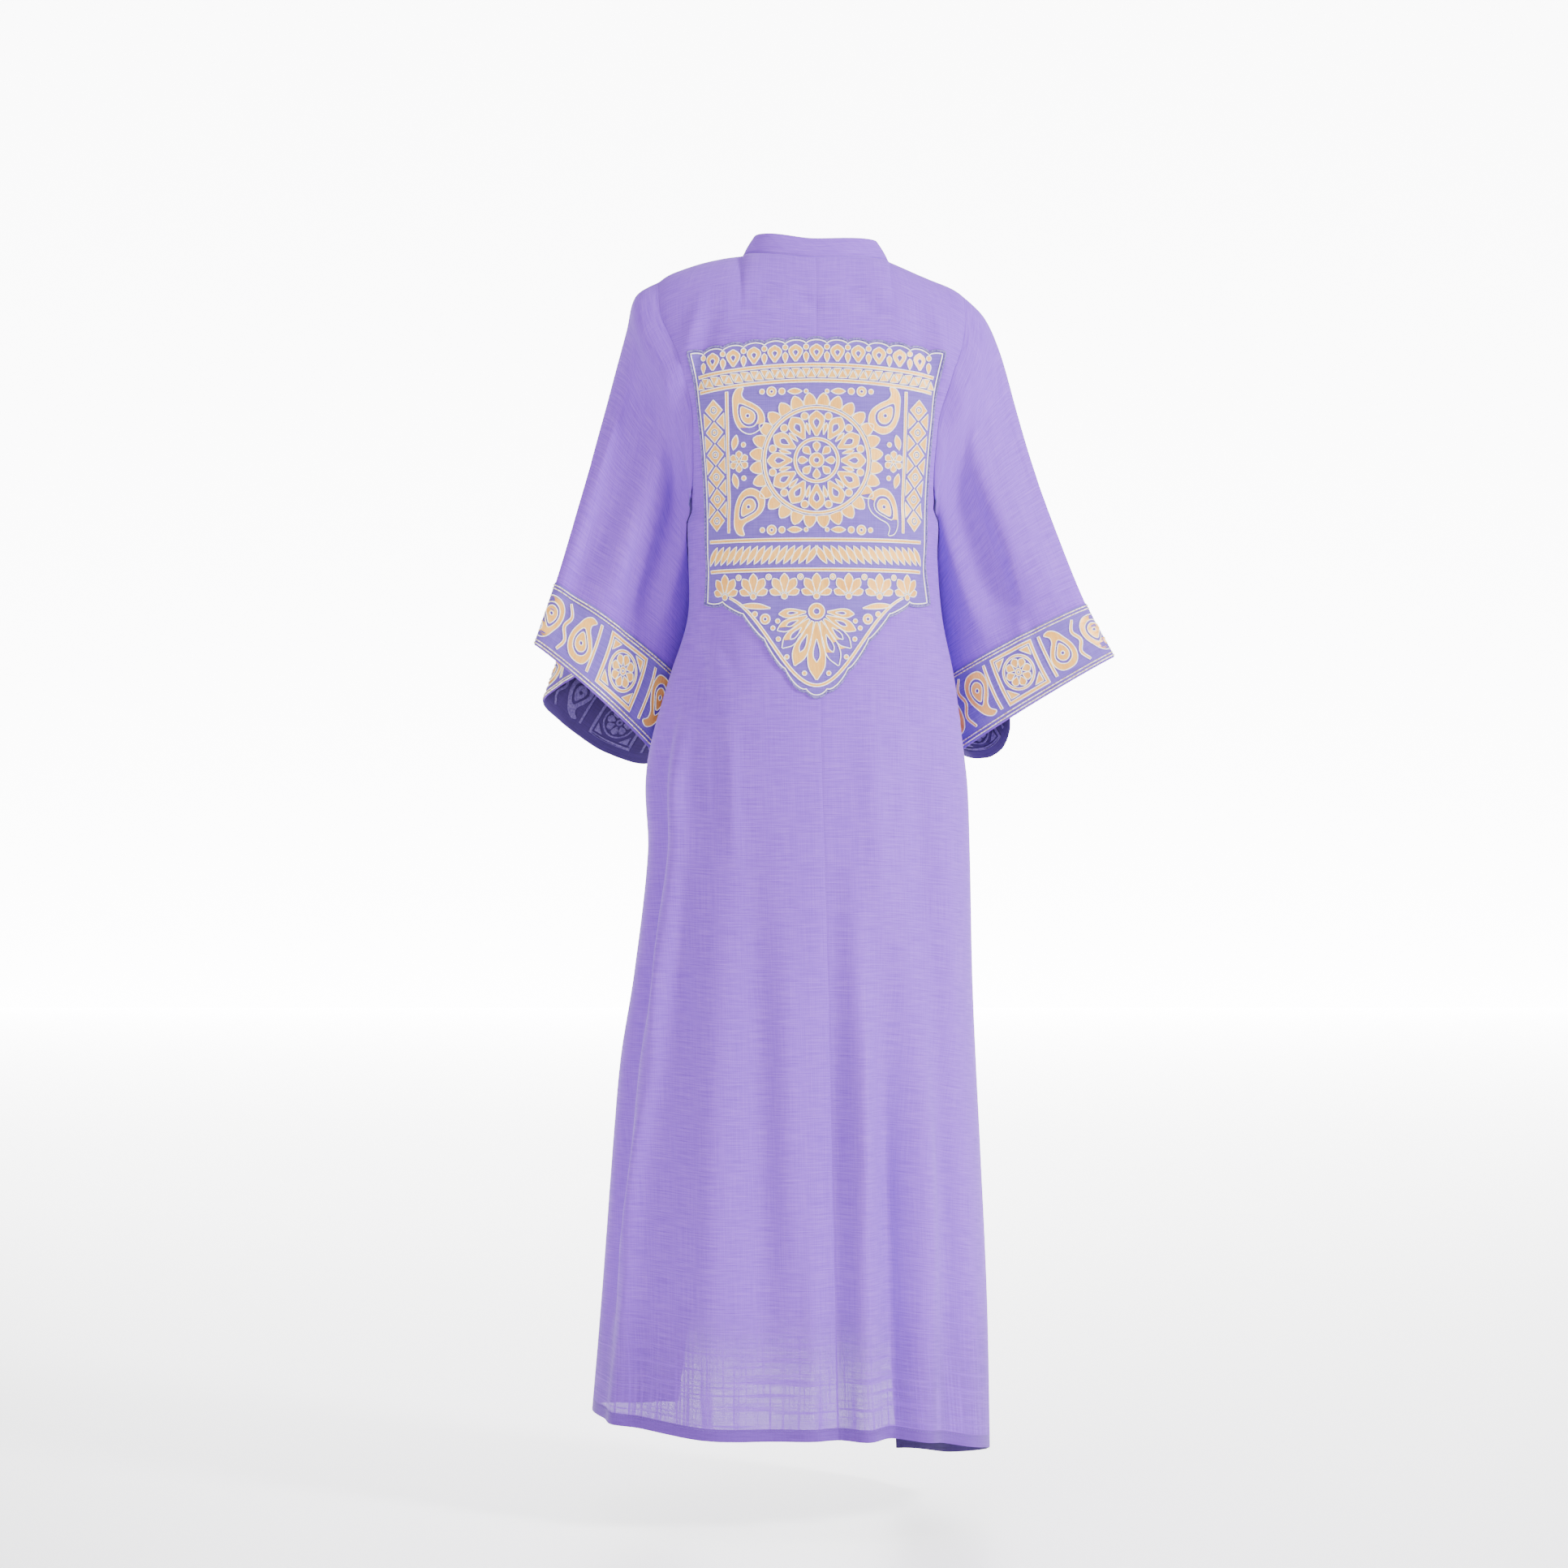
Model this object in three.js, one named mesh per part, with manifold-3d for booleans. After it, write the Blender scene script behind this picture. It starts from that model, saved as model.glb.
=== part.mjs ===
// A long open-fronted robe of light slub cloth in its worn shape, hollow, with nobody in it: two
// backs joined by a centre seam, two fronts, two wide three-quarter sleeves, a low stand collar, an
// embroidered patch sewn on the back and an embroidered band round each cuff. Each is a thin wall.
// Millimetres. +X is the wearer's left, +Y the wearer's back, +Z up. The origin is the middle of the
// neck opening, level with the shoulders that hold the robe.
import * as THREE from "three";
import { mergeVertices } from "three/addons/utils/BufferGeometryUtils.js";
import Module from "manifold-3d";

// Driving sizes
const CLOTH = 1.6; // wall of one layer
const COLLAR_CLOTH = 2.4; // the collar is folded double
const HEM_CLOTH = 2.6; // the hem is turned up on the inside
const PATCH_CLOTH = 1.3; // the embroidered patch and bands
const SEAM_GAP = 0.3; // between two sewn pieces
const LAID_GAP = 0.5; // under the patch and the bands
const HEM_DEPTH = 14;
const HEM_STEP = 1.5; // height over which the turned hem's extra thickness starts
const NECK_HALF = 90; // half width of the neck opening at its seam
const NECK_BACK = 56; // how far the neck seam reaches back
const NECK_FRONT = 72; // and forward
const NECK_DROP = 72; // the front neck seam's drop at the open edge
const NECK_DIP = 6; // how far the back neck seam hangs at the centre back
const NECK_CURVE = 1.4; // how late the front neck seam starts to fall
const FRONT_EDGE = 32; // the open edge from the centre line, at the neck
const UNDERARM_DROP = 305;
const SHOULDER_ROUND = 110; // drop over which the shoulder turns from level to upright
const NECK_ROUNDNESS = 0.85; // how softly it turns near the neck
const TIP_ROUNDNESS = 0.5; // and towards the shoulder's tip
const COLLAR_HEIGHT = 27;
const COLLAR_LEAN = 15;
const BAND_TOP = 405; // where the cuff band starts, along the sleeve's upper fold
const SLEEVE_LENGTH = 487; // along the upper fold
const SLEEVE_BLEND = 150; // length over which the armhole's shape becomes the sleeve's
const BODY_CLEARANCE = 5; // between the hanging sleeve and the body's side
const UNDERARM_EASE = 8; // how far the sleeve's layers stand out beside the underarm

// How many grid cells each stretch of cloth is divided into
const NECK_CELLS_BACK = 5; // from the centre back to the shoulder seam
const NECK_CELLS_FRONT = 4;
const SHOULDER_CELLS = 7;
const ARMHOLE_CELLS = 14; // from the shoulder tip to the underarm
const SKIRT_CELLS = 15;
const SLEEVE_CELLS = 9; // above the cuff band
const BAND_CELLS = 3;

const LEFT = 1;
const RIGHT = -1;
const SIDES = [LEFT, RIGHT];
const BACK = 1;
const FRONT = -1;
const sideName = (side) => (side === LEFT ? "left" : "right");
const faceName = (face) => (face === BACK ? "back" : "front");

// Half widths to each side and depths to the back and front, by drop below the neck
const TORSO = [
  { drop: 0, left: 250, right: 242, back: 84, front: 72 },
  { drop: 110, left: 228, right: 222, back: 99, front: 94 },
  { drop: 205, left: 184, right: 180, back: 108, front: 118 },
  { drop: 305, left: 154, right: 147, back: 110, front: 127 },
  { drop: 325, left: 158, right: 151, back: 109, front: 126 },
  { drop: 365, left: 157, right: 150, back: 108, front: 125 },
  { drop: 440, left: 158, right: 156, back: 108, front: 123 },
  { drop: 515, left: 181, right: 171, back: 111, front: 122 },
  { drop: 593, left: 203, right: 181, back: 116, front: 124 },
  { drop: 645, left: 210, right: 187, back: 120, front: 127 },
  { drop: 728, left: 207, right: 190, back: 127, front: 132 },
  { drop: 878, left: 224, right: 193, back: 138, front: 141 },
  { drop: 978, left: 240, right: 197, back: 145, front: 147 },
  { drop: 1078, left: 249, right: 202, back: 152, front: 153 },
  { drop: 1278, left: 264, right: 211, back: 166, front: 165 },
  { drop: 1490, left: 282, right: 215, back: 180, front: 176 },
];

// Drop of the shoulder seam, by distance out from the centre. The wearer's right shoulder hangs lower.
const SHOULDER = [
  { out: 90, left: -6, right: 1 },
  { out: 112, left: -3, right: 11 },
  { out: 140, left: 3, right: 23 },
  { out: 165, left: 11, right: 33 },
  { out: 180, left: 17, right: 42 },
  { out: 193, left: 25, right: 52 },
];

// The armhole's distance out from the centre, by its share of the way down to the underarm
const ARMHOLE = [
  { share: 0, left: 193, right: 182 },
  { share: 0.15, left: 183, right: 181 },
  { share: 0.3, left: 171, right: 174 },
  { share: 0.45, left: 161, right: 163 },
  { share: 0.62, left: 153, right: 152 },
  { share: 0.8, left: 150, right: 145 },
  { share: 0.92, left: 151, right: 144 },
  { share: 1, left: 154, right: 147 },
];

// The centre back seam's distance across, by drop: it swings to the wearer's right lower down
const BACK_SEAM = [
  { drop: 160, across: 0 },
  { drop: 560, across: -5 },
  { drop: 890, across: -14 },
  { drop: 1490, across: -28 },
];

// Drop of the hem, by turn in degrees from the centre back, positive to the wearer's left
const HEM = [
  { turn: -180, drop: 1497 },
  { turn: -150, drop: 1494 },
  { turn: -120, drop: 1484 },
  { turn: -90, drop: 1461 },
  { turn: -60, drop: 1444 },
  { turn: -40, drop: 1430 },
  { turn: -20, drop: 1421 },
  { turn: 0, drop: 1420 },
  { turn: 30, drop: 1421 },
  { turn: 60, drop: 1414 },
  { turn: 90, drop: 1413 },
  { turn: 120, drop: 1422 },
  { turn: 150, drop: 1436 },
  { turn: 180, drop: 1442 },
];

// The open front edges' distance out from the centre, by drop
const OPEN_EDGE = [
  { drop: 72, left: 32, right: 32 },
  { drop: 180, left: 29, right: 30 },
  { drop: 320, left: 30, right: 33 },
  { drop: 520, left: 42, right: 44 },
  { drop: 720, left: 66, right: 57 },
  { drop: 920, left: 96, right: 70 },
  { drop: 1180, left: 136, right: 85 },
  { drop: 1490, left: 180, right: 103 },
];

// Folds of the body: a ridge, or a trough where the height is negative. Each starts at one turn and
// drop and grows over its fade, then runs to the hem or fades out again at its end.
const BODY_FOLDS = [
  { turn: 60, endTurn: 57, from: 560, to: 1500, fade: 260, width: 8, height: 9, fadesOut: false },
  { turn: 75, endTurn: 72, from: 540, to: 1330, fade: 200, width: 7, height: -7, fadesOut: true },
  { turn: 62, endTurn: 36, from: 410, to: 760, fade: 130, width: 8, height: -5, fadesOut: true },
  { turn: -12, endTurn: -14, from: 700, to: 1500, fade: 420, width: 7, height: -6, fadesOut: false },
  { turn: -26, endTurn: -27, from: 800, to: 1500, fade: 420, width: 7, height: 6, fadesOut: false },
  { turn: -39, endTurn: -38, from: 900, to: 1500, fade: 420, width: 8, height: -9, fadesOut: false },
  { turn: -60, endTurn: -58, from: 900, to: 1500, fade: 420, width: 9, height: 6, fadesOut: false },
  { turn: 28, endTurn: 24, from: 950, to: 1500, fade: 420, width: 10, height: 5, fadesOut: false },
  { turn: 112, endTurn: 108, from: 500, to: 1500, fade: 420, width: 9, height: 8, fadesOut: false },
  { turn: 128, endTurn: 124, from: 560, to: 1500, fade: 420, width: 8, height: -8, fadesOut: false },
  { turn: 148, endTurn: 139, from: 420, to: 1500, fade: 420, width: 8, height: 7, fadesOut: false },
  { turn: -110, endTurn: -108, from: 500, to: 1500, fade: 420, width: 9, height: 7, fadesOut: false },
  { turn: -128, endTurn: -126, from: 560, to: 1500, fade: 420, width: 8, height: -8, fadesOut: false },
  { turn: -150, endTurn: -146, from: 420, to: 1500, fade: 420, width: 8, height: 7, fadesOut: false },
];

// Each sleeve's upper fold and lower fold, by distance along the upper fold. The first row is the
// armhole. The lower fold hangs before the body's side.
const SLEEVE_LINES = {
  left: [
    { along: 0, upperX: 193, upperY: 0, upperDrop: 25, lowerX: 154, lowerY: 0, lowerDrop: 305 },
    { along: 36, upperX: 222, upperY: 0, upperDrop: 44, lowerX: 163, lowerY: -7, lowerDrop: 310 },
    { along: 82, upperX: 233, upperY: 0, upperDrop: 86, lowerX: 159, lowerY: -27, lowerDrop: 330 },
    { along: 150, upperX: 249, upperY: 0, upperDrop: 151, lowerX: 154, lowerY: -43, lowerDrop: 362 },
    { along: 220, upperX: 268, upperY: 1, upperDrop: 218, lowerX: 150, lowerY: -51, lowerDrop: 402 },
    { along: 303, upperX: 291, upperY: 3, upperDrop: 298, lowerX: 155, lowerY: -54, lowerDrop: 452 },
    { along: 405, upperX: 320, upperY: 5, upperDrop: 396, lowerX: 170, lowerY: -51, lowerDrop: 512 },
    { along: 487, upperX: 346, upperY: 8, upperDrop: 473, lowerX: 198, lowerY: -44, lowerDrop: 610 },
  ],
  right: [
    { along: 0, upperX: 182, upperY: 0, upperDrop: 43, lowerX: 147, lowerY: 0, lowerDrop: 305 },
    { along: 36, upperX: 208, upperY: 0, upperDrop: 70, lowerX: 156, lowerY: -7, lowerDrop: 310 },
    { along: 82, upperX: 227, upperY: 0, upperDrop: 112, lowerX: 152, lowerY: -27, lowerDrop: 330 },
    { along: 150, upperX: 245, upperY: 0, upperDrop: 180, lowerX: 148, lowerY: -43, lowerDrop: 364 },
    { along: 220, upperX: 266, upperY: 1, upperDrop: 249, lowerX: 146, lowerY: -51, lowerDrop: 404 },
    { along: 303, upperX: 295, upperY: 3, upperDrop: 330, lowerX: 151, lowerY: -54, lowerDrop: 453 },
    { along: 405, upperX: 332, upperY: 5, upperDrop: 422, lowerX: 161, lowerY: -51, lowerDrop: 513 },
    { along: 487, upperX: 367, upperY: 8, upperDrop: 488, lowerX: 180, lowerY: -44, lowerDrop: 604 },
  ],
};

// The sleeve's half depths, how pointed its two folds are (1 is a plain oval), and how far the front
// layer hangs below the back one, by distance along
const SLEEVE_DEPTHS = [
  { along: 0, back: 62, front: 62, crease: 1, leftSag: 0, rightSag: 0 },
  { along: 82, back: 58, front: 62, crease: 1.05, leftSag: 0, rightSag: 0 },
  { along: 150, back: 52, front: 60, crease: 1.12, leftSag: 0, rightSag: 0 },
  { along: 220, back: 46, front: 58, crease: 1.2, leftSag: 4, rightSag: 3 },
  { along: 303, back: 40, front: 56, crease: 1.3, leftSag: 14, rightSag: 11 },
  { along: 405, back: 32, front: 54, crease: 1.4, leftSag: 32, rightSag: 24 },
  { along: 487, back: 26, front: 52, crease: 1.45, leftSag: 50, rightSag: 40 },
];

// Folds of a sleeve by turn round it in degrees (0 is the upper fold, 90 the back, 270 the front)
const SLEEVE_FOLDS = {
  left: [
    { turn: 50, endTurn: 38, from: 60, to: 480, fade: 120, width: 13, height: -6, fadesOut: true },
    { turn: 78, endTurn: 66, from: 70, to: 450, fade: 120, width: 13, height: 7, fadesOut: true },
    { turn: 108, endTurn: 98, from: 60, to: 440, fade: 120, width: 13, height: -7, fadesOut: true },
    { turn: 250, endTurn: 262, from: 80, to: 450, fade: 120, width: 14, height: -7, fadesOut: true },
    { turn: 290, endTurn: 296, from: 80, to: 400, fade: 120, width: 14, height: 6, fadesOut: true },
  ],
  right: [
    { turn: 68, endTurn: 54, from: 40, to: 420, fade: 120, width: 13, height: 6, fadesOut: true },
    { turn: 98, endTurn: 84, from: 60, to: 440, fade: 120, width: 13, height: -6, fadesOut: true },
    { turn: 252, endTurn: 262, from: 80, to: 450, fade: 120, width: 14, height: -7, fadesOut: true },
    { turn: 290, endTurn: 298, from: 80, to: 400, fade: 120, width: 14, height: 6, fadesOut: true },
  ],
};

// The front layer at the cuff's hem, which falls in a fold of its own: a row per point from the
// upper fold round to the lower one, each outwards, back and down from the upper fold's end.
// Higher up this opens out into the sleeve's oval.
const CUFF_FOLD_START = 230;
const CUFF_FRONT = {
  left: [
    { outwards: -28, back: -4, down: 13 },
    { outwards: -54, back: -9, down: 33 },
    { outwards: -31, back: -15, down: 50 },
    { outwards: -9, back: -21, down: 70 },
    { outwards: -28, back: -33, down: 92 },
    { outwards: -50, back: -45, down: 110 },
    { outwards: -73, back: -55, down: 126 },
    { outwards: -92, back: -61, down: 135 },
    { outwards: -108, back: -64, down: 141 },
    { outwards: -122, back: -64, down: 145 },
    { outwards: -134, back: -61, down: 146 },
    { outwards: -142, back: -57, down: 144 },
    { outwards: -147, back: -54, down: 140 },
  ],
  right: [
    { outwards: -25, back: -4, down: 7 },
    { outwards: -51, back: -9, down: 20 },
    { outwards: -77, back: -14, down: 34 },
    { outwards: -102, back: -19, down: 50 },
    { outwards: -124, back: -25, down: 67 },
    { outwards: -126, back: -36, down: 91 },
    { outwards: -133, back: -46, down: 110 },
    { outwards: -146, back: -54, down: 121 },
    { outwards: -159, back: -59, down: 124 },
    { outwards: -170, back: -61, down: 124 },
    { outwards: -178, back: -59, down: 122 },
    { outwards: -183, back: -56, down: 120 },
    { outwards: -186, back: -54, down: 118 },
  ],
};

// The patch on the back: an arched scalloped top, hollow sides and an ogee foot with a point
const PATCH_TOP = 126; // drop of its top corners
const PATCH_ARCH = 14; // rise of the top at the centre
const PATCH_SIDE = 424; // drop of its lower corners
const PATCH_FOOT = 536; // drop of the point at the centre
const PATCH_SCALLOP = 5;
const PATCH_SCALLOP_WIDTH = 25;
const PATCH_STEP = 6; // between two points of its outline
const PATCH_CUTTER = 200; // how deep the cut along its outline goes
const PATCH_WIDTH = [
  { drop: 108, half: 158 },
  { drop: 160, half: 149 },
  { drop: 230, half: 139 },
  { drop: 330, half: 134 },
  { drop: 424, half: 137 },
];

const COLOURS = {
  cloth: { color: 0x9a86cf, roughness: 0.75, metalness: 0 },
  embroidery: { color: 0xd9b47c, roughness: 0.45, metalness: 0.4 },
};

const mix = THREE.MathUtils.lerp;
const smooth = THREE.MathUtils.smoothstep;
const degrees = THREE.MathUtils.radToDeg;
const count = (n) => Array.from({ length: n }, (_, i) => i);

// One column of a table between its rows, along a smooth curve
function read(table, by, at, column) {
  const last = table.length - 1;
  if (at <= table[0][by]) return table[0][column];
  if (at >= table[last][by]) return table[last][column];
  let i = 0;
  while (table[i + 1][by] < at) i += 1;
  const slope = (j) => {
    const a = table[Math.max(j - 1, 0)];
    const b = table[Math.min(j + 1, last)];
    return (b[column] - a[column]) / (b[by] - a[by]);
  };
  const span = table[i + 1][by] - table[i][by];
  const t = (at - table[i][by]) / span;
  return (
    table[i][column] * (1 + 2 * t) * (1 - t) ** 2 +
    slope(i) * span * t * (1 - t) ** 2 +
    table[i + 1][column] * t * t * (3 - 2 * t) +
    slope(i + 1) * span * t * t * (t - 1)
  );
}

// How far the folds of a table lift the cloth at a turn and a distance down it
function foldHeight(folds, turn, down) {
  return folds.reduce((sum, fold) => {
    const share = THREE.MathUtils.clamp((down - fold.from) / (fold.to - fold.from), 0, 1);
    const off = (turn - mix(fold.turn, fold.endTurn, share)) / fold.width;
    const start = smooth(down, fold.from, fold.from + fold.fade);
    const end = fold.fadesOut ? 1 - smooth(down, fold.to - fold.fade, fold.to) : 1;
    return sum + fold.height * start * end * Math.exp(-off * off);
  }, 0);
}

// The neck and shoulder line that the body hangs from, at a distance out from the centre
function topLine(side, face, out) {
  if (out >= NECK_HALF) return { y: 0, drop: read(SHOULDER, "out", out, sideName(side)) };
  const neckPoint = SHOULDER[0][sideName(side)];
  const reach = face === BACK ? NECK_BACK : NECK_FRONT;
  const y = face * reach * Math.sqrt(1 - (out / NECK_HALF) ** 2);
  if (face === BACK) {
    const middle = (SHOULDER[0].left + SHOULDER[0].right) / 2 + NECK_DIP;
    return { y, drop: mix(middle, neckPoint, smooth(out, 0, NECK_HALF)) };
  }
  const inward = (NECK_HALF - out) / (NECK_HALF - FRONT_EDGE);
  return { y, drop: mix(neckPoint, NECK_DROP, inward ** NECK_CURVE) };
}

// A point of the body's outer face, at a signed distance across and a drop
function bodyPoint(face, across, drop) {
  const side = across >= 0 ? LEFT : RIGHT;
  const half = read(TORSO, "drop", drop, sideName(side));
  const depth = read(TORSO, "drop", drop, faceName(face));
  const out = Math.min(Math.abs(across), half);
  const flat = Math.sqrt(1 - (out / half) ** 2);
  const top = topLine(side, face, out);
  const fall = THREE.MathUtils.clamp((drop - top.drop) / SHOULDER_ROUND, 0, 1);
  const roundness = mix(NECK_ROUNDNESS, TIP_ROUNDNESS, smooth(out, FRONT_EDGE, NECK_HALF + 20));
  const settle = (1 - (1 - fall) ** 2) ** roundness;
  const turn = degrees(Math.atan2(out / half, face * flat)) * side;
  const lift = foldHeight(BODY_FOLDS, turn, drop);
  const y = mix(top.y, face * depth * flat, settle);
  const outward = new THREE.Vector2(across / half ** 2, (face * flat) / depth).normalize();
  return new THREE.Vector3(across + lift * outward.x, y + lift * outward.y, -drop);
}

// The columns of a panel on one side, from its inner edge out to the armhole. Each has its place on
// the neck or shoulder line and its angle round the body lower down.
function sideColumns(side, face) {
  const neckCells = face === BACK ? NECK_CELLS_BACK : NECK_CELLS_FRONT;
  const inner = face === BACK ? 0 : Math.asin(FRONT_EDGE / NECK_HALF);
  const tip = ARMHOLE[0][sideName(side)];
  const cells = neckCells + SHOULDER_CELLS;
  return count(cells + 1).map((i) => ({
    side,
    share: i / cells,
    top:
      i <= neckCells
        ? NECK_HALF * Math.sin(mix(inner, Math.PI / 2, i / neckCells))
        : mix(NECK_HALF, tip, (i - neckCells) / SHOULDER_CELLS),
  }));
}

// A column's angle round the body, whose half width is given
function columnAngle(face, column, drop, half) {
  const name = sideName(column.side);
  const inner = face === BACK ? 0 : Math.asin(read(OPEN_EDGE, "drop", drop, name) / half);
  return mix(inner, Math.PI / 2, column.share);
}

// The back's points move across with the centre back seam, less towards the sides
function shifted(face, across, drop, half) {
  if (face === FRONT) return across;
  return across + read(BACK_SEAM, "drop", drop, "across") * Math.max(0, 1 - Math.abs(across) / half);
}

// A panel's point in the armhole's height, where its outer edge is the armhole
function upperPoint(face, column, share) {
  const edge = read(ARMHOLE, "share", share, sideName(column.side));
  const ring = edge * Math.sin(columnAngle(face, column, UNDERARM_DROP * share, edge));
  const out = mix(column.top, ring, smooth(share, 0, 0.45));
  const drop = mix(topLine(column.side, face, out).drop, UNDERARM_DROP, share);
  return bodyPoint(face, shifted(face, column.side * out, drop, edge), drop);
}

// A panel's point below the underarm, where its outer edge is the side seam
function lowerPoint(face, column, share, aboveHem) {
  const name = sideName(column.side);
  const angleAt = (drop) => columnAngle(face, column, drop, read(TORSO, "drop", drop, name));
  const turn = degrees(angleAt(HEM[0].drop));
  const hem = read(HEM, "turn", column.side * (face === BACK ? turn : 180 - turn), "drop");
  const drop = mix(UNDERARM_DROP, hem, share) - aboveHem;
  const half = read(TORSO, "drop", drop, name);
  const across = column.side * half * Math.sin(angleAt(drop));
  return bodyPoint(face, shifted(face, across, drop, half), drop);
}

// All the rows of a panel, from the neck and shoulder line to the hem
function bodyRows(face, columns) {
  const rows = count(ARMHOLE_CELLS + 1).map((i) => {
    const share = (1 - Math.cos((Math.PI * i) / ARMHOLE_CELLS)) / 2;
    return columns.map((column) => upperPoint(face, column, share));
  });
  const shares = count(SKIRT_CELLS - 1).map((i) => ((i + 1) / SKIRT_CELLS) ** 1.25);
  const below = shares.map((share) => ({ share, aboveHem: 0 }));
  below.push({ share: 1, aboveHem: HEM_DEPTH + HEM_STEP });
  below.push({ share: 1, aboveHem: HEM_DEPTH });
  below.push({ share: 1, aboveHem: 0 });
  below.forEach(({ share, aboveHem }) => {
    rows.push(columns.map((column) => lowerPoint(face, column, share, aboveHem)));
  });
  return rows;
}

// The armhole's ring: from the shoulder tip down the back's edge to the underarm, and up the front's
function armholeRing(back, front) {
  const edge = (rows) => rows.map((row) => row[row.length - 1].clone());
  const down = edge(back).slice(0, ARMHOLE_CELLS + 1);
  const up = edge(front).slice(1, ARMHOLE_CELLS).reverse();
  return [...down, ...up];
}

// Pushes a sleeve's point out of the body's oval, below the underarm
function clearOfBody(point, side) {
  const drop = -point.z;
  if (drop <= UNDERARM_DROP) return point;
  const half = read(TORSO, "drop", drop, sideName(side));
  const depth = read(TORSO, "drop", drop, point.y >= 0 ? "back" : "front");
  const lift = Math.max(0, foldHeight(BODY_FOLDS, 90 * side, drop));
  const room = mix(2, BODY_CLEARANCE, smooth(drop, UNDERARM_DROP, UNDERARM_DROP + 60)) + lift;
  const reach = Math.hypot(point.x / (half + room), point.y / (depth + room));
  if (reach < 1) {
    point.x /= reach;
    point.y /= reach;
  }
  return point;
}

// One ring of a sleeve, at a distance along its upper fold. ring holds the armhole's points.
function sleeveRing(side, ring, along) {
  const name = sideName(side);
  const line = (end, at) => {
    const value = (column) => read(SLEEVE_LINES[name], "along", at, end + column);
    return new THREE.Vector3(side * value("X"), value("Y"), -value("Drop"));
  };
  const depths = (column) => read(SLEEVE_DEPTHS, "along", along, column);
  const upper = line("upper", along);
  const lower = line("lower", along);
  const middle = upper.clone().add(lower).multiplyScalar(0.5);
  const reach = upper.clone().sub(lower).multiplyScalar(0.5);
  // the depth lies across the flat sleeve, which turns a little as it goes round the body
  const backward = new THREE.Vector3(-reach.y, reach.x, 0).multiplyScalar(side).normalize();
  const upperMove = upper.clone().sub(line("upper", 0));
  const lowerMove = lower.clone().sub(line("lower", 0));
  const blend = smooth(along, 0, SLEEVE_BLEND);
  const folded = smooth(along, CUFF_FOLD_START, SLEEVE_LENGTH);
  return ring.map((start, i) => {
    const turn = (2 * Math.PI * i) / ring.length;
    const sine = Math.sin(turn);
    const bulk = depths(sine >= 0 ? "back" : "front") * Math.abs(sine) ** depths("crease");
    const lift = foldHeight(SLEEVE_FOLDS[name], degrees(turn), along) * smooth(Math.abs(sine), 0, 0.5);
    const oval = middle.clone().addScaledVector(reach, Math.cos(turn));
    oval.addScaledVector(backward, Math.sign(sine) * (bulk + lift));
    if (sine < 0) oval.z -= depths(`${name}Sag`) * Math.abs(sine) ** 0.8;
    const hem = CUFF_FRONT[name][ring.length - i - 1];
    if (sine < 0 && hem) {
      const fallen = upper.clone().add(new THREE.Vector3(side * hem.outwards, hem.back, -hem.down));
      oval.lerp(fallen, folded);
    }
    const upperShare = (1 + Math.cos(turn)) / 2;
    const carried = start.clone().addScaledVector(upperMove, upperShare);
    carried.addScaledVector(lowerMove, 1 - upperShare);
    const ease = UNDERARM_EASE * (1 - upperShare) * smooth(Math.abs(sine), 0, 0.3);
    carried.x += side * ease * smooth(along, 0, 40);
    return clearOfBody(carried.lerp(oval, blend), side);
  });
}

function sleeveRings(side, ring) {
  const above = count(SLEEVE_CELLS - 1).map((i) => BAND_TOP * ((i + 1) / SLEEVE_CELLS) ** 1.15);
  const band = count(BAND_CELLS + 1).map((i) => mix(BAND_TOP, SLEEVE_LENGTH, i / BAND_CELLS));
  return [ring, ...[...above, ...band].map((along) => sleeveRing(side, ring, along))];
}

// The collar: three rows up from the neck seam, leaning in round the neck
function collarRows(neckEdge) {
  return [0, 0.5, 1].map((share) =>
    neckEdge.map((base) => {
      const inward = new THREE.Vector3(-base.x, -base.y - 8, 0).normalize();
      const lean = mix(COLLAR_LEAN, COLLAR_LEAN * 1.3, smooth(-base.y, 0, NECK_FRONT));
      const rise = Math.sqrt(COLLAR_HEIGHT ** 2 - lean ** 2 + COLLAR_LEAN ** 2);
      return base
        .clone()
        .addScaledVector(inward, lean * share ** 1.3)
        .add(new THREE.Vector3(0, 0, rise * share));
    }),
  );
}

// The patch's outline, as distances across and up
function patchOutline() {
  const half = (drop) => read(PATCH_WIDTH, "drop", drop, "half");
  const scallop = (across) =>
    PATCH_SCALLOP * Math.sqrt(Math.abs(Math.cos((Math.PI * across) / PATCH_SCALLOP_WIDTH)));
  const topDrop = (across) =>
    PATCH_TOP - PATCH_ARCH * (1 - (across / half(PATCH_TOP)) ** 2) - scallop(across);
  const footDrop = (across) => {
    const ogee = (1 + Math.cos((Math.PI * across) / half(PATCH_SIDE))) / 2;
    return mix(PATCH_SIDE, PATCH_FOOT, ogee ** 1.5) + scallop(across);
  };
  const steps = (from, to, size) => {
    const n = Math.round(Math.abs(to - from) / size);
    return count(n).map((i) => mix(from, to, i / n));
  };
  const topHalf = half(PATCH_TOP);
  const footHalf = half(PATCH_SIDE);
  const top = steps(topHalf, -topHalf, PATCH_STEP).map((x) => [x, -topDrop(x)]);
  const right = steps(PATCH_TOP, PATCH_SIDE, PATCH_STEP * 4).map((drop) => [-half(drop), -drop]);
  const foot = steps(-footHalf, footHalf, PATCH_STEP).map((x) => [x, -footDrop(x)]);
  const left = steps(PATCH_SIDE, PATCH_TOP, PATCH_STEP * 4).map((drop) => [half(drop), -drop]);
  return [...top, ...right, ...foot, ...left];
}

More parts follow.
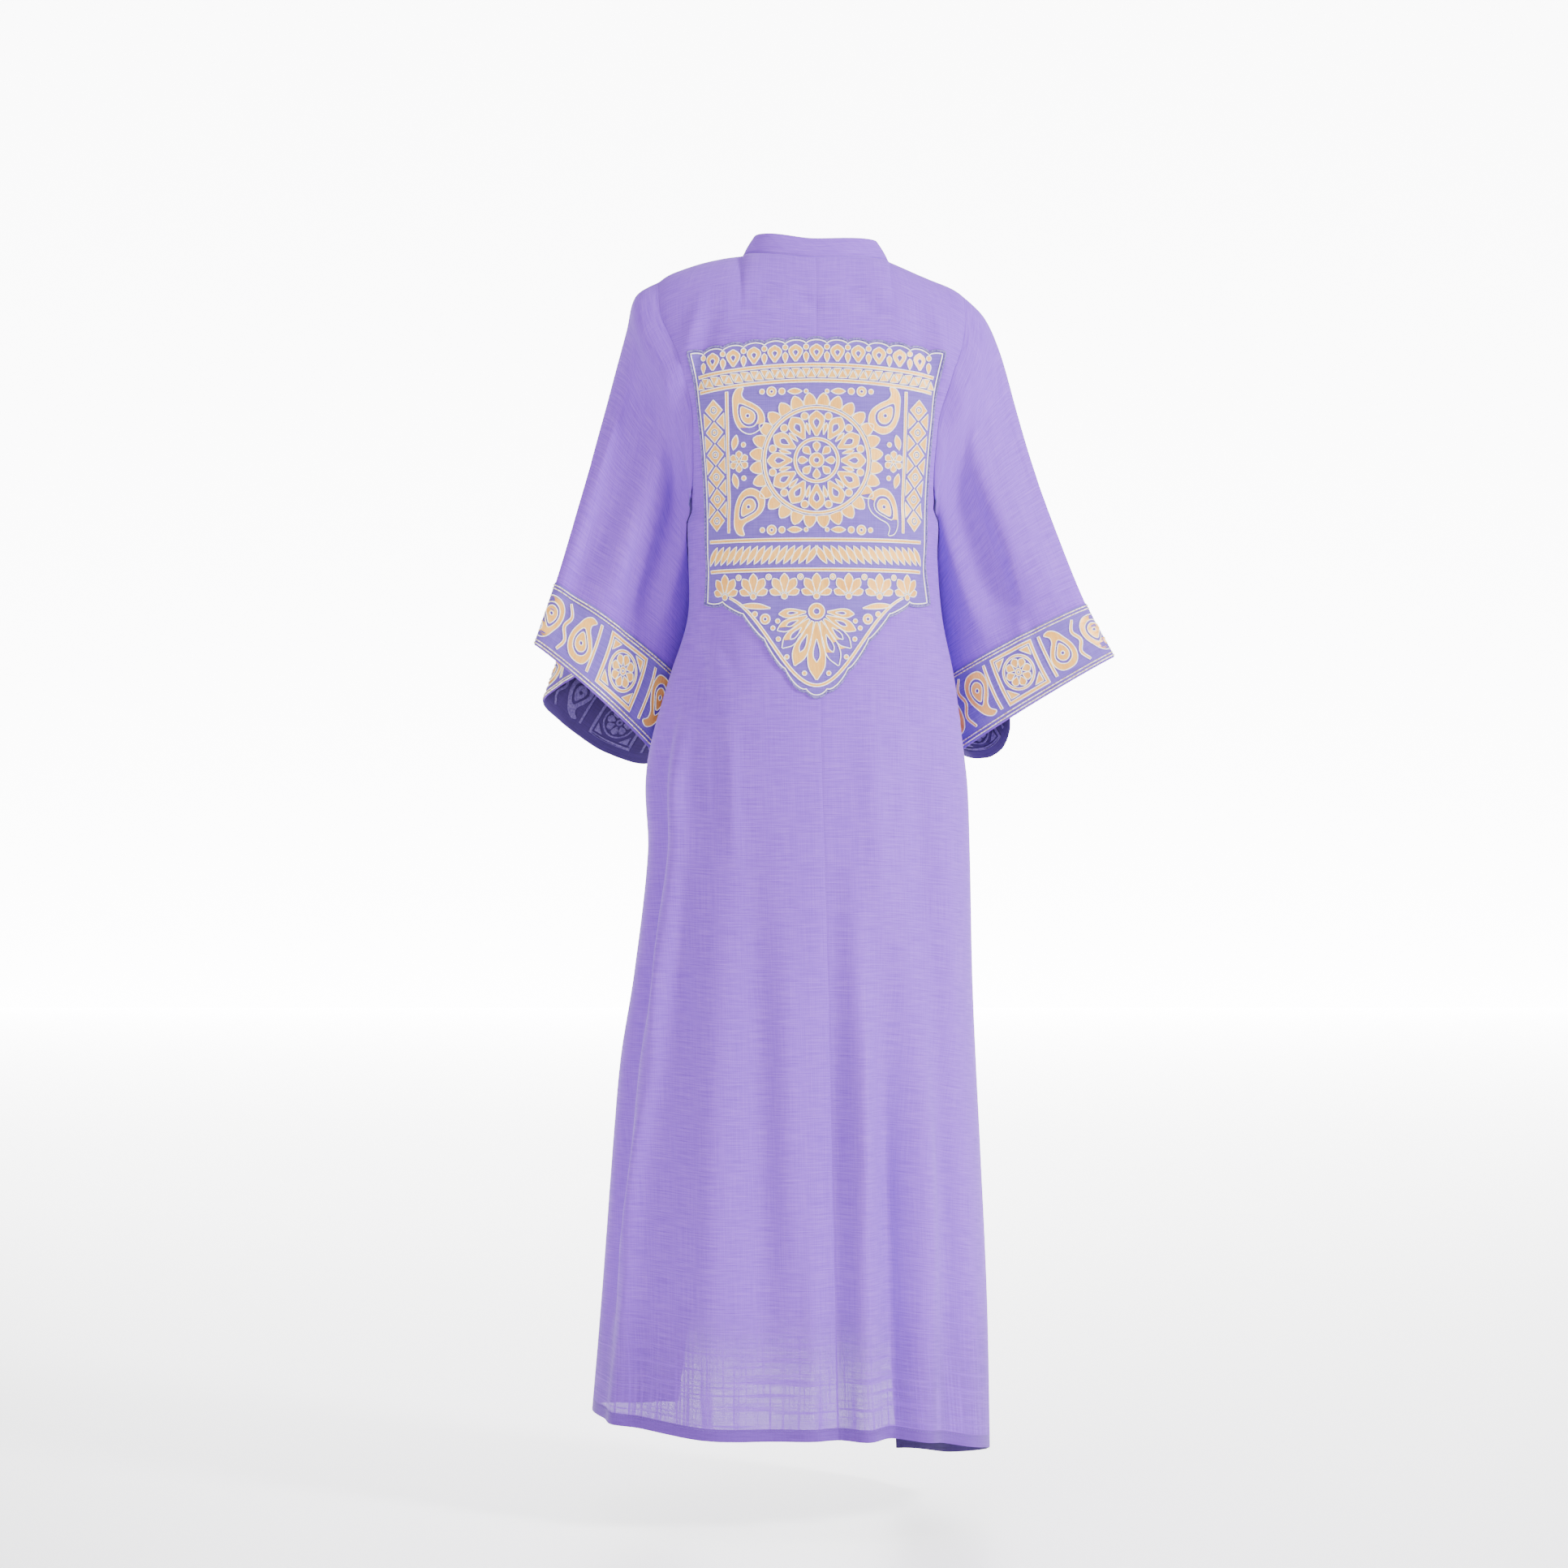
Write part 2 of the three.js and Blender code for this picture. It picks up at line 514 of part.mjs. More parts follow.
// A piece of cloth before it gets its thickness: its outer face's points, whether they close into
// a ring, which of its edges are seams, and a direction out of the robe at each point
function cloth(name, rows, details) {
  return { name, rows, closed: false, seams: {}, thickness: () => CLOTH, ...details };
}

// The normals of a piece's cells, turned to face out of the robe
function cellNormals(piece) {
  const { rows, closed } = piece;
  const width = rows[0].length;
  const spans = closed ? width : width - 1;
  const normals = count(rows.length - 1).map((j) =>
    count(spans).map((i) => {
      const across = rows[j + 1][(i + 1) % width].clone().sub(rows[j][i]);
      const down = rows[j + 1][i].clone().sub(rows[j][(i + 1) % width]);
      return across.cross(down).normalize();
    }),
  );
  const j = Math.floor(normals.length / 2);
  const i = Math.floor(spans / 4);
  if (normals[j][i].dot(piece.outward(rows[j][i])) < 0) {
    normals.forEach((row) => row.forEach((n) => n.negate()));
  }
  return normals;
}

// At every point, the move that lifts all the cells round it by one millimetre. Pieces that share
// a point share its move, so that their walls meet in a mitre.
function addMitres(pieces) {
  const key = (p) => p.toArray().map((v) => Math.round(v * 10)).join();
  const around = new Map();
  const collect = (p, normal) => {
    if (!around.has(key(p))) around.set(key(p), []);
    around.get(key(p)).push(normal);
  };
  pieces.forEach((piece) => {
    const width = piece.rows[0].length;
    cellNormals(piece).forEach((row, j) =>
      row.forEach((normal, i) => {
        collect(piece.rows[j][i], normal);
        collect(piece.rows[j][(i + 1) % width], normal);
        collect(piece.rows[j + 1][i], normal);
        collect(piece.rows[j + 1][(i + 1) % width], normal);
      }),
    );
  });
  const mitre = (p) => {
    const normals = around.get(key(p));
    const middle = normals.reduce((sum, n) => sum.add(n), new THREE.Vector3()).normalize();
    const tightest = Math.min(...normals.map((n) => n.dot(middle)));
    return middle.multiplyScalar(1 / Math.max(tightest, 0.6));
  };
  pieces.forEach((piece) => {
    piece.mitres = piece.rows.map((row) => row.map(mitre));
  });
}

// A piece's points moved along their mitres
function raised(rows, mitres, height) {
  return rows.map((row, j) => row.map((p, i) => p.clone().addScaledVector(mitres[j][i], height(j))));
}

// Draws the seam edges back from their mitres, so that the next piece's edge is a seam gap away
function drawnBack(piece, layer) {
  const { rows, mitres, seams, closed } = piece;
  const moved = layer.map((row) => row.map((p) => p.clone()));
  const width = rows[0].length;
  const top = count(width).map((i) => ({ at: [0, i], inner: [1, i] }));
  const inner = count(rows.length).map((j) => ({ at: [j, 0], inner: [j, 1] }));
  const outer = count(rows.length).map((j) => ({ at: [j, width - 1], inner: [j, width - 2] }));
  const draw = (edge) => {
    const point = ([j, i]) => rows[j][i].clone();
    const end = edge.length - 1;
    const near = (k) => (closed ? (k + edge.length) % edge.length : THREE.MathUtils.clamp(k, 0, end));
    edge.forEach(({ at, inner: next }, k) => {
      const tangent = point(edge[near(k + 1)].at).sub(point(edge[near(k - 1)].at));
      const across = mitres[at[0]][at[1]].clone().cross(tangent).normalize();
      const inward = Math.sign(across.dot(point(next).sub(point(at))));
      moved[at[0]][at[1]].addScaledVector(across, (inward * SEAM_GAP) / 2);
    });
  };
  if (seams.top) draw(top);
  if (seams.inner) draw(inner);
  if (seams.outer) draw(outer);
  return moved;
}

// A closed wall between an outer and an inner grid of points
function wallGeometry(outer, inner, closed) {
  const height = outer.length;
  const width = outer[0].length;
  const points = [...outer.flat(), ...inner.flat()];
  const at = (layer, j, i) => (layer * height + j) * width + (i % width);
  const faces = [];
  const quad = (a, b, c, d) => faces.push(a, b, c, a, c, d);
  // an edge's quads are split along their shorter diagonal, so that two sewn edges split alike
  const edgeQuad = (a, b, c, d) => {
    const shorter = points[a].distanceTo(points[c]) < points[b].distanceTo(points[d]);
    return shorter ? quad(a, b, c, d) : quad(b, c, d, a);
  };
  const spans = closed ? width : width - 1;
  const last = height - 1;
  const end = width - 1;
  for (let j = 0; j < last; j += 1) {
    for (let i = 0; i < spans; i += 1) {
      quad(at(0, j, i), at(0, j + 1, i), at(0, j + 1, i + 1), at(0, j, i + 1));
      quad(at(1, j, i), at(1, j, i + 1), at(1, j + 1, i + 1), at(1, j + 1, i));
    }
    if (!closed) {
      edgeQuad(at(0, j, 0), at(1, j, 0), at(1, j + 1, 0), at(0, j + 1, 0));
      edgeQuad(at(0, j, end), at(0, j + 1, end), at(1, j + 1, end), at(1, j, end));
    }
  }
  for (let i = 0; i < spans; i += 1) {
    edgeQuad(at(0, 0, i), at(0, 0, i + 1), at(1, 0, i + 1), at(1, 0, i));
    edgeQuad(at(0, last, i), at(1, last, i), at(1, last, i + 1), at(0, last, i + 1));
  }
  const geometry = new THREE.BufferGeometry().setFromPoints(points);
  geometry.setIndex(signedVolume(points, faces) < 0 ? faces.reverse() : faces);
  return geometry;
}

function signedVolume(points, faces) {
  let sum = 0;
  for (let k = 0; k < faces.length; k += 3) {
    const [a, b, c] = [points[faces[k]], points[faces[k + 1]], points[faces[k + 2]]];
    sum += a.dot(b.clone().cross(c));
  }
  return sum;
}

function mesh(name, geometry, colour) {
  geometry.computeVertexNormals();
  const made = new THREE.Mesh(geometry, new THREE.MeshStandardMaterial(COLOURS[colour]));
  made.name = name;
  return made;
}

// The wall of a sewn piece: its points are the outer face, and the thickness goes inwards
function clothMesh(piece) {
  const inside = raised(piece.rows, piece.mitres, (j) => -piece.thickness(j));
  const outer = drawnBack(piece, piece.rows);
  return mesh(piece.name, wallGeometry(outer, drawnBack(piece, inside), piece.closed), "cloth");
}

// A wall laid on another piece's outer face
function laidGeometry(rows, mitres, closed) {
  const top = raised(rows, mitres, () => LAID_GAP + PATCH_CLOTH);
  return wallGeometry(top, raised(rows, mitres, () => LAID_GAP), closed);
}

// The patch: a wall laid over both backs, cut to its outline
async function patchGeometry(rows, mitres) {
  const kit = await Module();
  kit.setup();
  const solid = (geometry) =>
    new kit.Manifold(
      new kit.Mesh({
        numProp: 3,
        vertProperties: geometry.getAttribute("position").array,
        triVerts: new Uint32Array(geometry.index.array),
      }),
    );
  const outline = new THREE.Shape(patchOutline().map(([across, up]) => new THREE.Vector2(across, up)));
  const block = new THREE.ExtrudeGeometry(outline, { depth: PATCH_CUTTER, bevelEnabled: false });
  block.rotateX(Math.PI / 2).translate(0, PATCH_CUTTER, 0);
  block.deleteAttribute("normal");
  block.deleteAttribute("uv");
  const cut = solid(laidGeometry(rows, mitres, false)).intersect(solid(mergeVertices(block)));
  const { vertProperties, triVerts } = cut.getMesh();
  const geometry = new THREE.BufferGeometry();
  geometry.setAttribute("position", new THREE.BufferAttribute(vertProperties, 3));
  geometry.setIndex([...triVerts]);
  return geometry;
}

// The robe
const fromMiddle = (p) => new THREE.Vector3(p.x, p.y, 0);
const sewn = [];
const panels = {};
const sleeves = {};
for (const side of SIDES) {
  const name = sideName(side);
  const back = bodyRows(BACK, sideColumns(side, BACK));
  const front = bodyRows(FRONT, sideColumns(side, FRONT));
  const rings = sleeveRings(side, armholeRing(back, front));
  const hemmed = (j) => (j >= back.length - 2 ? HEM_CLOTH : CLOTH);
  const middleRing = rings[Math.floor(rings.length / 2)];
  const middle = new THREE.Box3().setFromPoints(middleRing).getCenter(new THREE.Vector3());
  panels[name] = {
    back: cloth(`back_${name}`, back, {
      outward: fromMiddle,
      seams: { top: true, inner: true, outer: true },
      thickness: hemmed,
    }),
    front: cloth(`front_${name}`, front, {
      outward: fromMiddle,
      seams: { top: true, outer: true },
      thickness: hemmed,
    }),
  };
  sleeves[name] = cloth(`sleeve_${name}`, rings, {
    closed: true,
    outward: (p) => p.clone().sub(middle),
    seams: { top: true },
  });
  sewn.push(panels[name].back, panels[name].front, sleeves[name]);
}

// The neck seam runs from the right open edge round the back to the left open edge
const neckEdge = [
  ...panels.right.front.rows[0].slice(0, NECK_CELLS_FRONT),
  ...panels.right.back.rows[0].slice(1, NECK_CELLS_BACK + 1).reverse(),
  ...panels.left.back.rows[0].slice(0, NECK_CELLS_BACK + 1),
  ...panels.left.front.rows[0].slice(0, NECK_CELLS_FRONT).reverse(),
];
const collar = cloth("stand_collar", collarRows(neckEdge), {
  outward: fromMiddle,
  seams: { top: true },
  thickness: (j) => (j ? COLLAR_CLOTH : CLOTH),
});
sewn.push(collar);
addMitres(sewn);

const robe = new THREE.Group();
robe.name = "robe";
sewn.forEach((piece) => robe.add(clothMesh(piece)));
for (const side of SIDES) {
  const { rows, mitres } = sleeves[sideName(side)];
  const band = laidGeometry(rows.slice(SLEEVE_CELLS), mitres.slice(SLEEVE_CELLS), true);
  robe.add(mesh(`cuff_band_${sideName(side)}`, band, "embroidery"));
}
const wholeBack = (part) =>
  panels.left.back[part].map((row, j) => [
    ...panels.right.back[part][j].slice(1).reverse(),
    ...row,
  ]);
robe.add(mesh("back_patch", await patchGeometry(wholeBack("rows"), wholeBack("mitres")), "embroidery"));

export default robe;
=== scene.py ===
# %% [markdown]
# # An open jalabiya in lilac slub cloth
#
# A jalabiya is a long loose robe. This one is open down the front, has a low stand collar and wide
# sleeves, and carries gold embroidery on the back and round the cuffs. It keeps its worn shape, but it
# is empty. The solids of the frame are the plain garment: each cloth piece here takes the place of one
# of them, with finer folds, a weave, stitches and embroidery.

# %% Load the frame
import math
import bmesh
import bpy
import numpy as np
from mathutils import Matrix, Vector


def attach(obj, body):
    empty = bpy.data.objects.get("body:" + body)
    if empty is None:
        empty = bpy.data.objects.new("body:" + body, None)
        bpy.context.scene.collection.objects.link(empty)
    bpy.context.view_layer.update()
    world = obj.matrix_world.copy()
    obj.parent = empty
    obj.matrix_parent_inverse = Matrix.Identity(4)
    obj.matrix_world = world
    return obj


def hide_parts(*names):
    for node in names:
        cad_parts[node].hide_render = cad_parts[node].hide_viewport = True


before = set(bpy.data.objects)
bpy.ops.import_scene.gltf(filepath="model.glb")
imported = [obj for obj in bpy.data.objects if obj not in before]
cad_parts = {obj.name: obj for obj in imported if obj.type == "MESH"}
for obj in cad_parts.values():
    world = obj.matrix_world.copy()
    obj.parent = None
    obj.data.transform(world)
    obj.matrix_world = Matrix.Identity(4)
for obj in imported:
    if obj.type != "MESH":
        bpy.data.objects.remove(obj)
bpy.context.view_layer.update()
MM = 0.001
print("nodes in the frame:", ", ".join(sorted(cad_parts)))

# %% [markdown]
# ## The camera
#
# The robe is seen level and from behind, from 4 m away. At that distance one pixel of the picture is one
# millimetre on the robe, so the lens follows from the width of the picture.

# %% Camera
PICTURE = 1932  # pixels, and millimetres at the middle of the robe
CAMERA_AWAY = 4000  # from the middle of the robe, mm
CAMERA_ACROSS = 39
CAMERA_DOWN = 644  # below the shoulders
SENSOR = 36

camera_data = bpy.data.cameras.new("camera")
camera_data.sensor_width = SENSOR
camera_data.lens = SENSOR * CAMERA_AWAY / PICTURE
camera = bpy.data.objects.new("camera", camera_data)
camera.location = (CAMERA_ACROSS * MM, CAMERA_AWAY * MM, -CAMERA_DOWN * MM)
camera.rotation_euler = (math.radians(90), 0, math.radians(180))
bpy.context.collection.objects.link(camera)
bpy.context.scene.camera = camera
print(f"lens {camera_data.lens:.1f} mm")

# %% [markdown]
# ## The cut and the way it hangs
#
# The robe's form is worked out from short tables in millimetres: widths and depths down the body, the
# shoulder and armhole lines, the hem, the open front edges and the folds. `read` follows one column of
# a table along a smooth curve. X runs to the robe's left, Y to its back and Z up. A turn is the angle
# round the body from the centre back, and a drop is the distance below the neck.

# %% Reading a table
def table(columns, *rows):
    values = np.array(rows, float).T
    return dict(zip(columns.split(), values))


def mix(a, b, share):
    return a + (b - a) * share


def smooth(value, low, high):
    share = np.clip((value - low) / (high - low), 0, 1)
    return share * share * (3 - 2 * share)


def read(rows, by, at, column):
    x, y = rows[by], rows[column]
    before = np.maximum(np.arange(len(x)) - 1, 0)
    after = np.minimum(np.arange(len(x)) + 1, len(x) - 1)
    slope = (y[after] - y[before]) / (x[after] - x[before])
    i = np.clip(np.searchsorted(x, at) - 1, 0, len(x) - 2)
    span = x[i + 1] - x[i]
    t = np.clip((at - x[i]) / span, 0, 1)
    start = y[i] * (1 + 2 * t) * (1 - t) ** 2 + slope[i] * span * t * (1 - t) ** 2
    end = y[i + 1] * t * t * (3 - 2 * t) + slope[i + 1] * span * t * t * (t - 1)
    return start + end


# %% Sizes of the body
SIGN = {"left": 1, "right": -1, "back": 1, "front": -1}
NECK_HALF, NECK_BACK, NECK_FRONT = 90, 56, 72
NECK_DROP, NECK_DIP, NECK_CURVE = 72, 6, 1.4
NECK_SHARE = {"back": 5 / 12, "front": 4 / 11}  # of a panel's columns that lie along the neck
FRONT_EDGE = 32
UNDERARM_DROP = 305
SHOULDER_ROUND, NECK_ROUNDNESS, TIP_ROUNDNESS = 110, 0.85, 0.5
SKIRT_SPREAD = 1.25  # rows lie closer together near the underarm

TORSO = table(
    "drop left right back front",
    (0, 250, 242, 84, 72),
    (110, 228, 222, 99, 94),
    (205, 184, 180, 108, 118),
    (305, 154, 147, 110, 127),
    (325, 158, 151, 109, 126),
    (365, 157, 150, 108, 125),
    (440, 158, 156, 108, 123),
    (515, 181, 171, 111, 122),
    (593, 203, 181, 116, 124),
    (645, 210, 187, 120, 127),
    (728, 207, 190, 127, 132),
    (878, 224, 193, 138, 141),
    (978, 240, 197, 145, 147),
    (1078, 249, 202, 152, 153),
    (1278, 264, 211, 166, 165),
    (1490, 282, 215, 180, 176),
)
SHOULDER = table(
    "out left right",
    (90, -6, 1),
    (112, -3, 11),
    (140, 3, 23),
    (165, 11, 33),
    (180, 17, 42),
    (193, 25, 52),
)
ARMHOLE = table(
    "share left right",
    (0, 193, 182),
    (0.15, 183, 181),
    (0.3, 171, 174),
    (0.45, 161, 163),
    (0.62, 153, 152),
    (0.8, 150, 145),
    (0.92, 151, 144),
    (1, 154, 147),
)
BACK_SEAM = table("drop across", (160, 0), (560, -5), (890, -14), (1490, -28))
HEM = table(
    "turn drop",
    (-180, 1497),
    (-150, 1494),
    (-120, 1484),
    (-90, 1461),
    (-60, 1444),
    (-40, 1430),
    (-20, 1421),
    (0, 1420),
    (30, 1421),
    (60, 1414),
    (90, 1413),
    (120, 1422),
    (150, 1436),
    (180, 1442),
)
OPEN_EDGE = table(
    "drop left right",
    (72, 32, 32),
    (180, 29, 30),
    (320, 30, 33),
    (520, 42, 44),
    (720, 66, 57),
    (920, 96, 70),
    (1180, 136, 85),
    (1490, 180, 103),
)

# %% [markdown]
# ## Folds and creases
#
# Light cloth hangs in long soft folds from wherever it is held: the shoulders, the fullest part of the
# back and the hips. The folds of the frame run down the body at a turn. Finer creases are lines laid on
# the cloth from one point to another, each with its own width and height, and none like the next.

# %% Folds
FOLD_COLUMNS = "turn end_turn start end fade width height open_end"
BODY_FOLDS = table(
    FOLD_COLUMNS,
    (52, 60, 480, 1500, 260, 6, 13, 1),
    (64, 73, 460, 1400, 200, 6, -12, 0),
    (60, 40, 410, 760, 130, 8, -7, 0),
    (-5, -7, 640, 1500, 460, 6, -12, 1),
    (-14, -16, 640, 1500, 460, 5, 12, 1),
    (-25, -27, 760, 1500, 420, 6, -15, 1),
    (-38, -37, 860, 1500, 420, 6, 8, 1),
    (-50, -48, 620, 1500, 420, 7, -8, 1),
    (32, 27, 800, 1500, 420, 10, 8, 1),
    (12, 10, 900, 1500, 420, 8, -6, 1),
    (112, 108, 500, 1500, 420, 9, 8, 1),
    (128, 124, 560, 1500, 420, 8, -8, 1),
    (148, 139, 420, 1500, 420, 8, 7, 1),
    (-110, -108, 500, 1500, 420, 9, 7, 1),
    (-128, -126, 560, 1500, 420, 8, -8, 1),
    (-150, -146, 420, 1500, 420, 8, 7, 1),
)
CREASE_COLUMNS = "across drop to_across to_drop width height"
BACK_CREASES = table(
    CREASE_COLUMNS,
    (28, 52, -12, 78, 9, -3.7),
    (-30, 40, -95, 88, 14, -3.4),
    (52, 38, 100, 84, 14, -2.7),
    (120, 60, 168, 250, 12, -4.4),
    (136, 40, 176, 190, 9, 3.4),
    (-118, 70, -160, 240, 11, -4.1),
    (-140, 60, -168, 180, 8, 2.7),
    (152, 330, 118, 430, 9, -3.4),
    (150, 372, 96, 520, 8, -3.7),
    (-146, 340, -112, 450, 9, -3.4),
    (-150, 400, -108, 560, 8, 3.1),
    (158, 448, 124, 590, 11, -5.1),
    (124, 560, 115, 700, 9, -4.1),
    (104, 560, 98, 760, 10, 3.1),
    (-62, 560, -78, 840, 16, 4.1),
    (-120, 560, -130, 900, 14, -5.1),
    (-152, 620, -160, 1040, 13, 4.4),
    (74, 700, 64, 1420, 18, -5.4),
    (36, 820, 30, 1300, 16, 4.1),
    (-57, 900, -58, 1200, 7, 4.4),
    (-84, 1000, -100, 1440, 8, -4.1),
    (-128, 940, -140, 1300, 12, 5.8),
    (-160, 1060, -176, 1440, 12, -5.1),
    (112, 700, 128, 1420, 22, 5.1),
    (160, 600, 166, 1020, 11, -5.1),
    (184, 700, 190, 1040, 6, 4.1),
    (190, 980, 240, 1300, 7, 7.1),
    (206, 1120, 228, 1340, 5, 4.1),
    (8, 1180, 2, 1430, 9, 3.1),
    (-30, 1240, -38, 1430, 8, -2.7),
    (200, 1290, 214, 1420, 10, -4.1),
)
FRONT_CREASES = table(
    CREASE_COLUMNS,
    (40, 90, 96, 190, 12, -3.7),
    (-42, 92, -100, 200, 12, -3.7),
    (70, 30, 140, 150, 12, 3.1),
    (-74, 34, -140, 160, 12, 3.1),
    (148, 330, 90, 470, 10, -4.4),
    (-146, 335, -92, 480, 10, -4.4),
    (60, 420, 84, 760, 11, 3.4),
    (-58, 430, -76, 800, 11, -3.4),
    (110, 560, 136, 980, 12, -3.7),
    (-112, 560, -132, 1000, 12, 3.4),
    (150, 760, 190, 1300, 12, 3.7),
    (-96, 900, -112, 1440, 11, -4.1),
    (186, 1060, 214, 1420, 10, -4.1),
    (-150, 960, -166, 1460, 11, 3.7),
    (-120, 1160, -128, 1470, 9, 3.1),
)


def fold_height(folds, turn, down):
    lift = 0
    for k in range(len(folds["turn"])):
        fold = {name: values[k] for name, values in folds.items()}
        share = np.clip((down - fold["start"]) / (fold["end"] - fold["start"]), 0, 1)
        off = (turn - mix(fold["turn"], fold["end_turn"], share)) / fold["width"]
        grown = smooth(down, fold["start"], fold["start"] + fold["fade"])
        left = 1 - smooth(down, fold["end"] - fold["fade"], fold["end"])
        lift = lift + fold["height"] * grown * np.maximum(left, fold["open_end"]) * np.exp(-off * off)
    return lift


def crease_height(creases, across, drop):
    lift = 0
    for k in range(len(creases["drop"])):
        crease = {name: values[k] for name, values in creases.items()}
        run = np.array((crease["to_across"] - crease["across"], crease["to_drop"] - crease["drop"]))
        length = np.hypot(*run)
        along = ((across - crease["across"]) * run[0] + (drop - crease["drop"]) * run[1]) / length**2
        aside = ((across - crease["across"]) * run[1] - (drop - crease["drop"]) * run[0]) / length
        ends = smooth(along, -0.1, 0.35) * (1 - smooth(along, 0.6, 1.1))
        lift = lift + crease["height"] * ends * np.exp(-((aside / crease["width"]) ** 2))
    return lift


print(len(BODY_FOLDS["turn"]), "folds,", len(BACK_CREASES["drop"]) + len(FRONT_CREASES["drop"]), "creases")

# %% [markdown]
# ## The body's surface
#
# From the neck and shoulder line the cloth rounds over into an oval body, and from the underarm it
# falls straight to the hem. `body_point` gives the outer face for a distance across and a drop.
# `panel_point` gives it for a place in a cut panel: 0 to 1 from the inner edge to the side, and 0 to 2
# from the top past the underarm at 1 to the hem.

# %% Body surface
def top_line(side, face, out):
    inside = np.clip(1 - (out / NECK_HALF) ** 2, 0, 1)
    y = SIGN[face] * (NECK_BACK if face == "back" else NECK_FRONT) * np.sqrt(inside)
    at_neck = SHOULDER[side][0]
    if face == "back":
        middle = (SHOULDER["left"][0] + SHOULDER["right"][0]) / 2 + NECK_DIP
        near = mix(middle, at_neck, smooth(out, 0, NECK_HALF))
    else:
        inward = np.clip((NECK_HALF - out) / (NECK_HALF - FRONT_EDGE), 0, None)
        near = mix(at_neck, NECK_DROP, inward**NECK_CURVE)
    return y, np.where(out >= NECK_HALF, read(SHOULDER, "out", out, side), near)


def body_point(face, side, across, drop):
    half = np.where(across > 0, read(TORSO, "drop", drop, "left"), read(TORSO, "drop", drop, "right"))
    depth = read(TORSO, "drop", drop, face)
    out = np.minimum(np.abs(across), half)
    flat = np.sqrt(1 - (out / half) ** 2)
    top_y, top_drop = top_line(side, face, out)
    fall = np.clip((drop - top_drop) / SHOULDER_ROUND, 0, 1)
    roundness = mix(NECK_ROUNDNESS, TIP_ROUNDNESS, smooth(out, FRONT_EDGE, NECK_HALF + 20))
    settle = (1 - (1 - fall) ** 2) ** roundness
    turn = np.degrees(np.arctan2(out / half, SIGN[face] * flat)) * np.sign(across)
    creases = BACK_CREASES if face == "back" else FRONT_CREASES
    edge = smooth(half - out, 0, 12)  # creases stop at the side seam
    lift = fold_height(BODY_FOLDS, turn, drop) + edge * crease_height(creases, across, drop)
    y = mix(top_y, SIGN[face] * depth * flat, settle)
    outward = np.stack([across / half**2, SIGN[face] * flat / depth])
    outward = outward / np.hypot(*outward)
    return np.stack([across + lift * outward[0], y + lift * outward[1], -drop + 0 * lift], -1)


def column_angle(face, side, column, drop, half):
    inner = 0 if face == "back" else np.arcsin(read(OPEN_EDGE, "drop", drop, side) / half)
    return mix(inner, math.pi / 2, column)


def panel_place(face, side, across, drop, half):
    if face == "back":
        shift = read(BACK_SEAM, "drop", drop, "across")
        across = across + shift * np.maximum(0, 1 - np.abs(across) / half)
    return body_point(face, side, across, drop)


def panel_point(face, side, column, row):
    sign = SIGN[side]
    share = (1 - np.cos(math.pi * np.minimum(row, 1))) / 2
    along_neck = column / NECK_SHARE[face]
    along_shoulder = (column - NECK_SHARE[face]) / (1 - NECK_SHARE[face])
    inner = 0 if face == "back" else math.asin(FRONT_EDGE / NECK_HALF)
    neck_top = NECK_HALF * np.sin(mix(inner, math.pi / 2, np.minimum(along_neck, 1)))
    shoulder_top = mix(NECK_HALF, ARMHOLE[side][0], along_shoulder)
    top = np.where(along_neck <= 1, neck_top, shoulder_top)
    edge = read(ARMHOLE, "share", share, side)
    ring = edge * np.sin(column_angle(face, side, column, UNDERARM_DROP * share, edge))
    out = mix(top, ring, smooth(share, 0, 0.45))
    drop = mix(top_line(side, face, out)[1], UNDERARM_DROP, share)
    above = panel_place(face, side, sign * out, drop, edge)
    turn = np.degrees(column_angle(face, side, column, HEM["drop"][0], TORSO[side][-1]))
    hem = read(HEM, "turn", sign * (turn if face == "back" else 180 - turn), "drop")
    drop = mix(UNDERARM_DROP, hem, np.maximum(row - 1, 0) ** SKIRT_SPREAD)
    half = read(TORSO, "drop", drop, side)
    across = sign * half * np.sin(column_angle(face, side, column, drop, half))
    below = panel_place(face, side, across, drop, half)
    return np.where((row <= 1)[..., None], above, below)


# %% [markdown]
# ## A piece of cloth
#
# Each piece starts as a flat grid from one bmesh operator, and every vertex then moves to its place on
# the worn surface. The grid also remembers how far each vertex lies from the piece's edges along the
# cloth: that is its place in the flat cut piece, and it goes into the UV map, in metres, so that the
# weave follows the cloth. Solidify adds the real thickness of the cloth, inwards.

# %% Cloth from a grid
CLOTH = 0.7  # thickness that shows, mm
SEAM_DIP = 0.7  # how deep a seam pulls the cloth in
SEAM_REACH = 4.0
INNER_SHARE = 0.3  # of that depth, at the middle seam


def normals_of(points, closed):
    if closed:
        points = np.concatenate([points[:, -2:-1], points, points[:, 1:2]], axis=1)
    across = np.gradient(points, axis=1)
    down = np.gradient(points, axis=0)
    normals = np.cross(across, down)
    normals /= np.maximum(np.linalg.norm(normals, axis=-1, keepdims=True), 1e-9)
    return normals[:, 1:-1] if closed else normals


def lengths(points, axis):
    steps = np.linalg.norm(np.diff(points, axis=axis), axis=-1)
    total = np.cumsum(steps, axis=axis)
    return np.concatenate([np.zeros_like(np.take(total, [0], axis=axis)), total], axis=axis)


def distances(line):
    """How far each point of a line lies from its start."""
    return np.concatenate([[0], np.cumsum(np.linalg.norm(np.diff(line, axis=0), axis=1))])


def along_line(line, away, at):
    """The places at some distances on a line whose own points lie at the distances away."""
    return np.stack([np.interp(at, away, line[:, k]) for k in range(3)], -1)


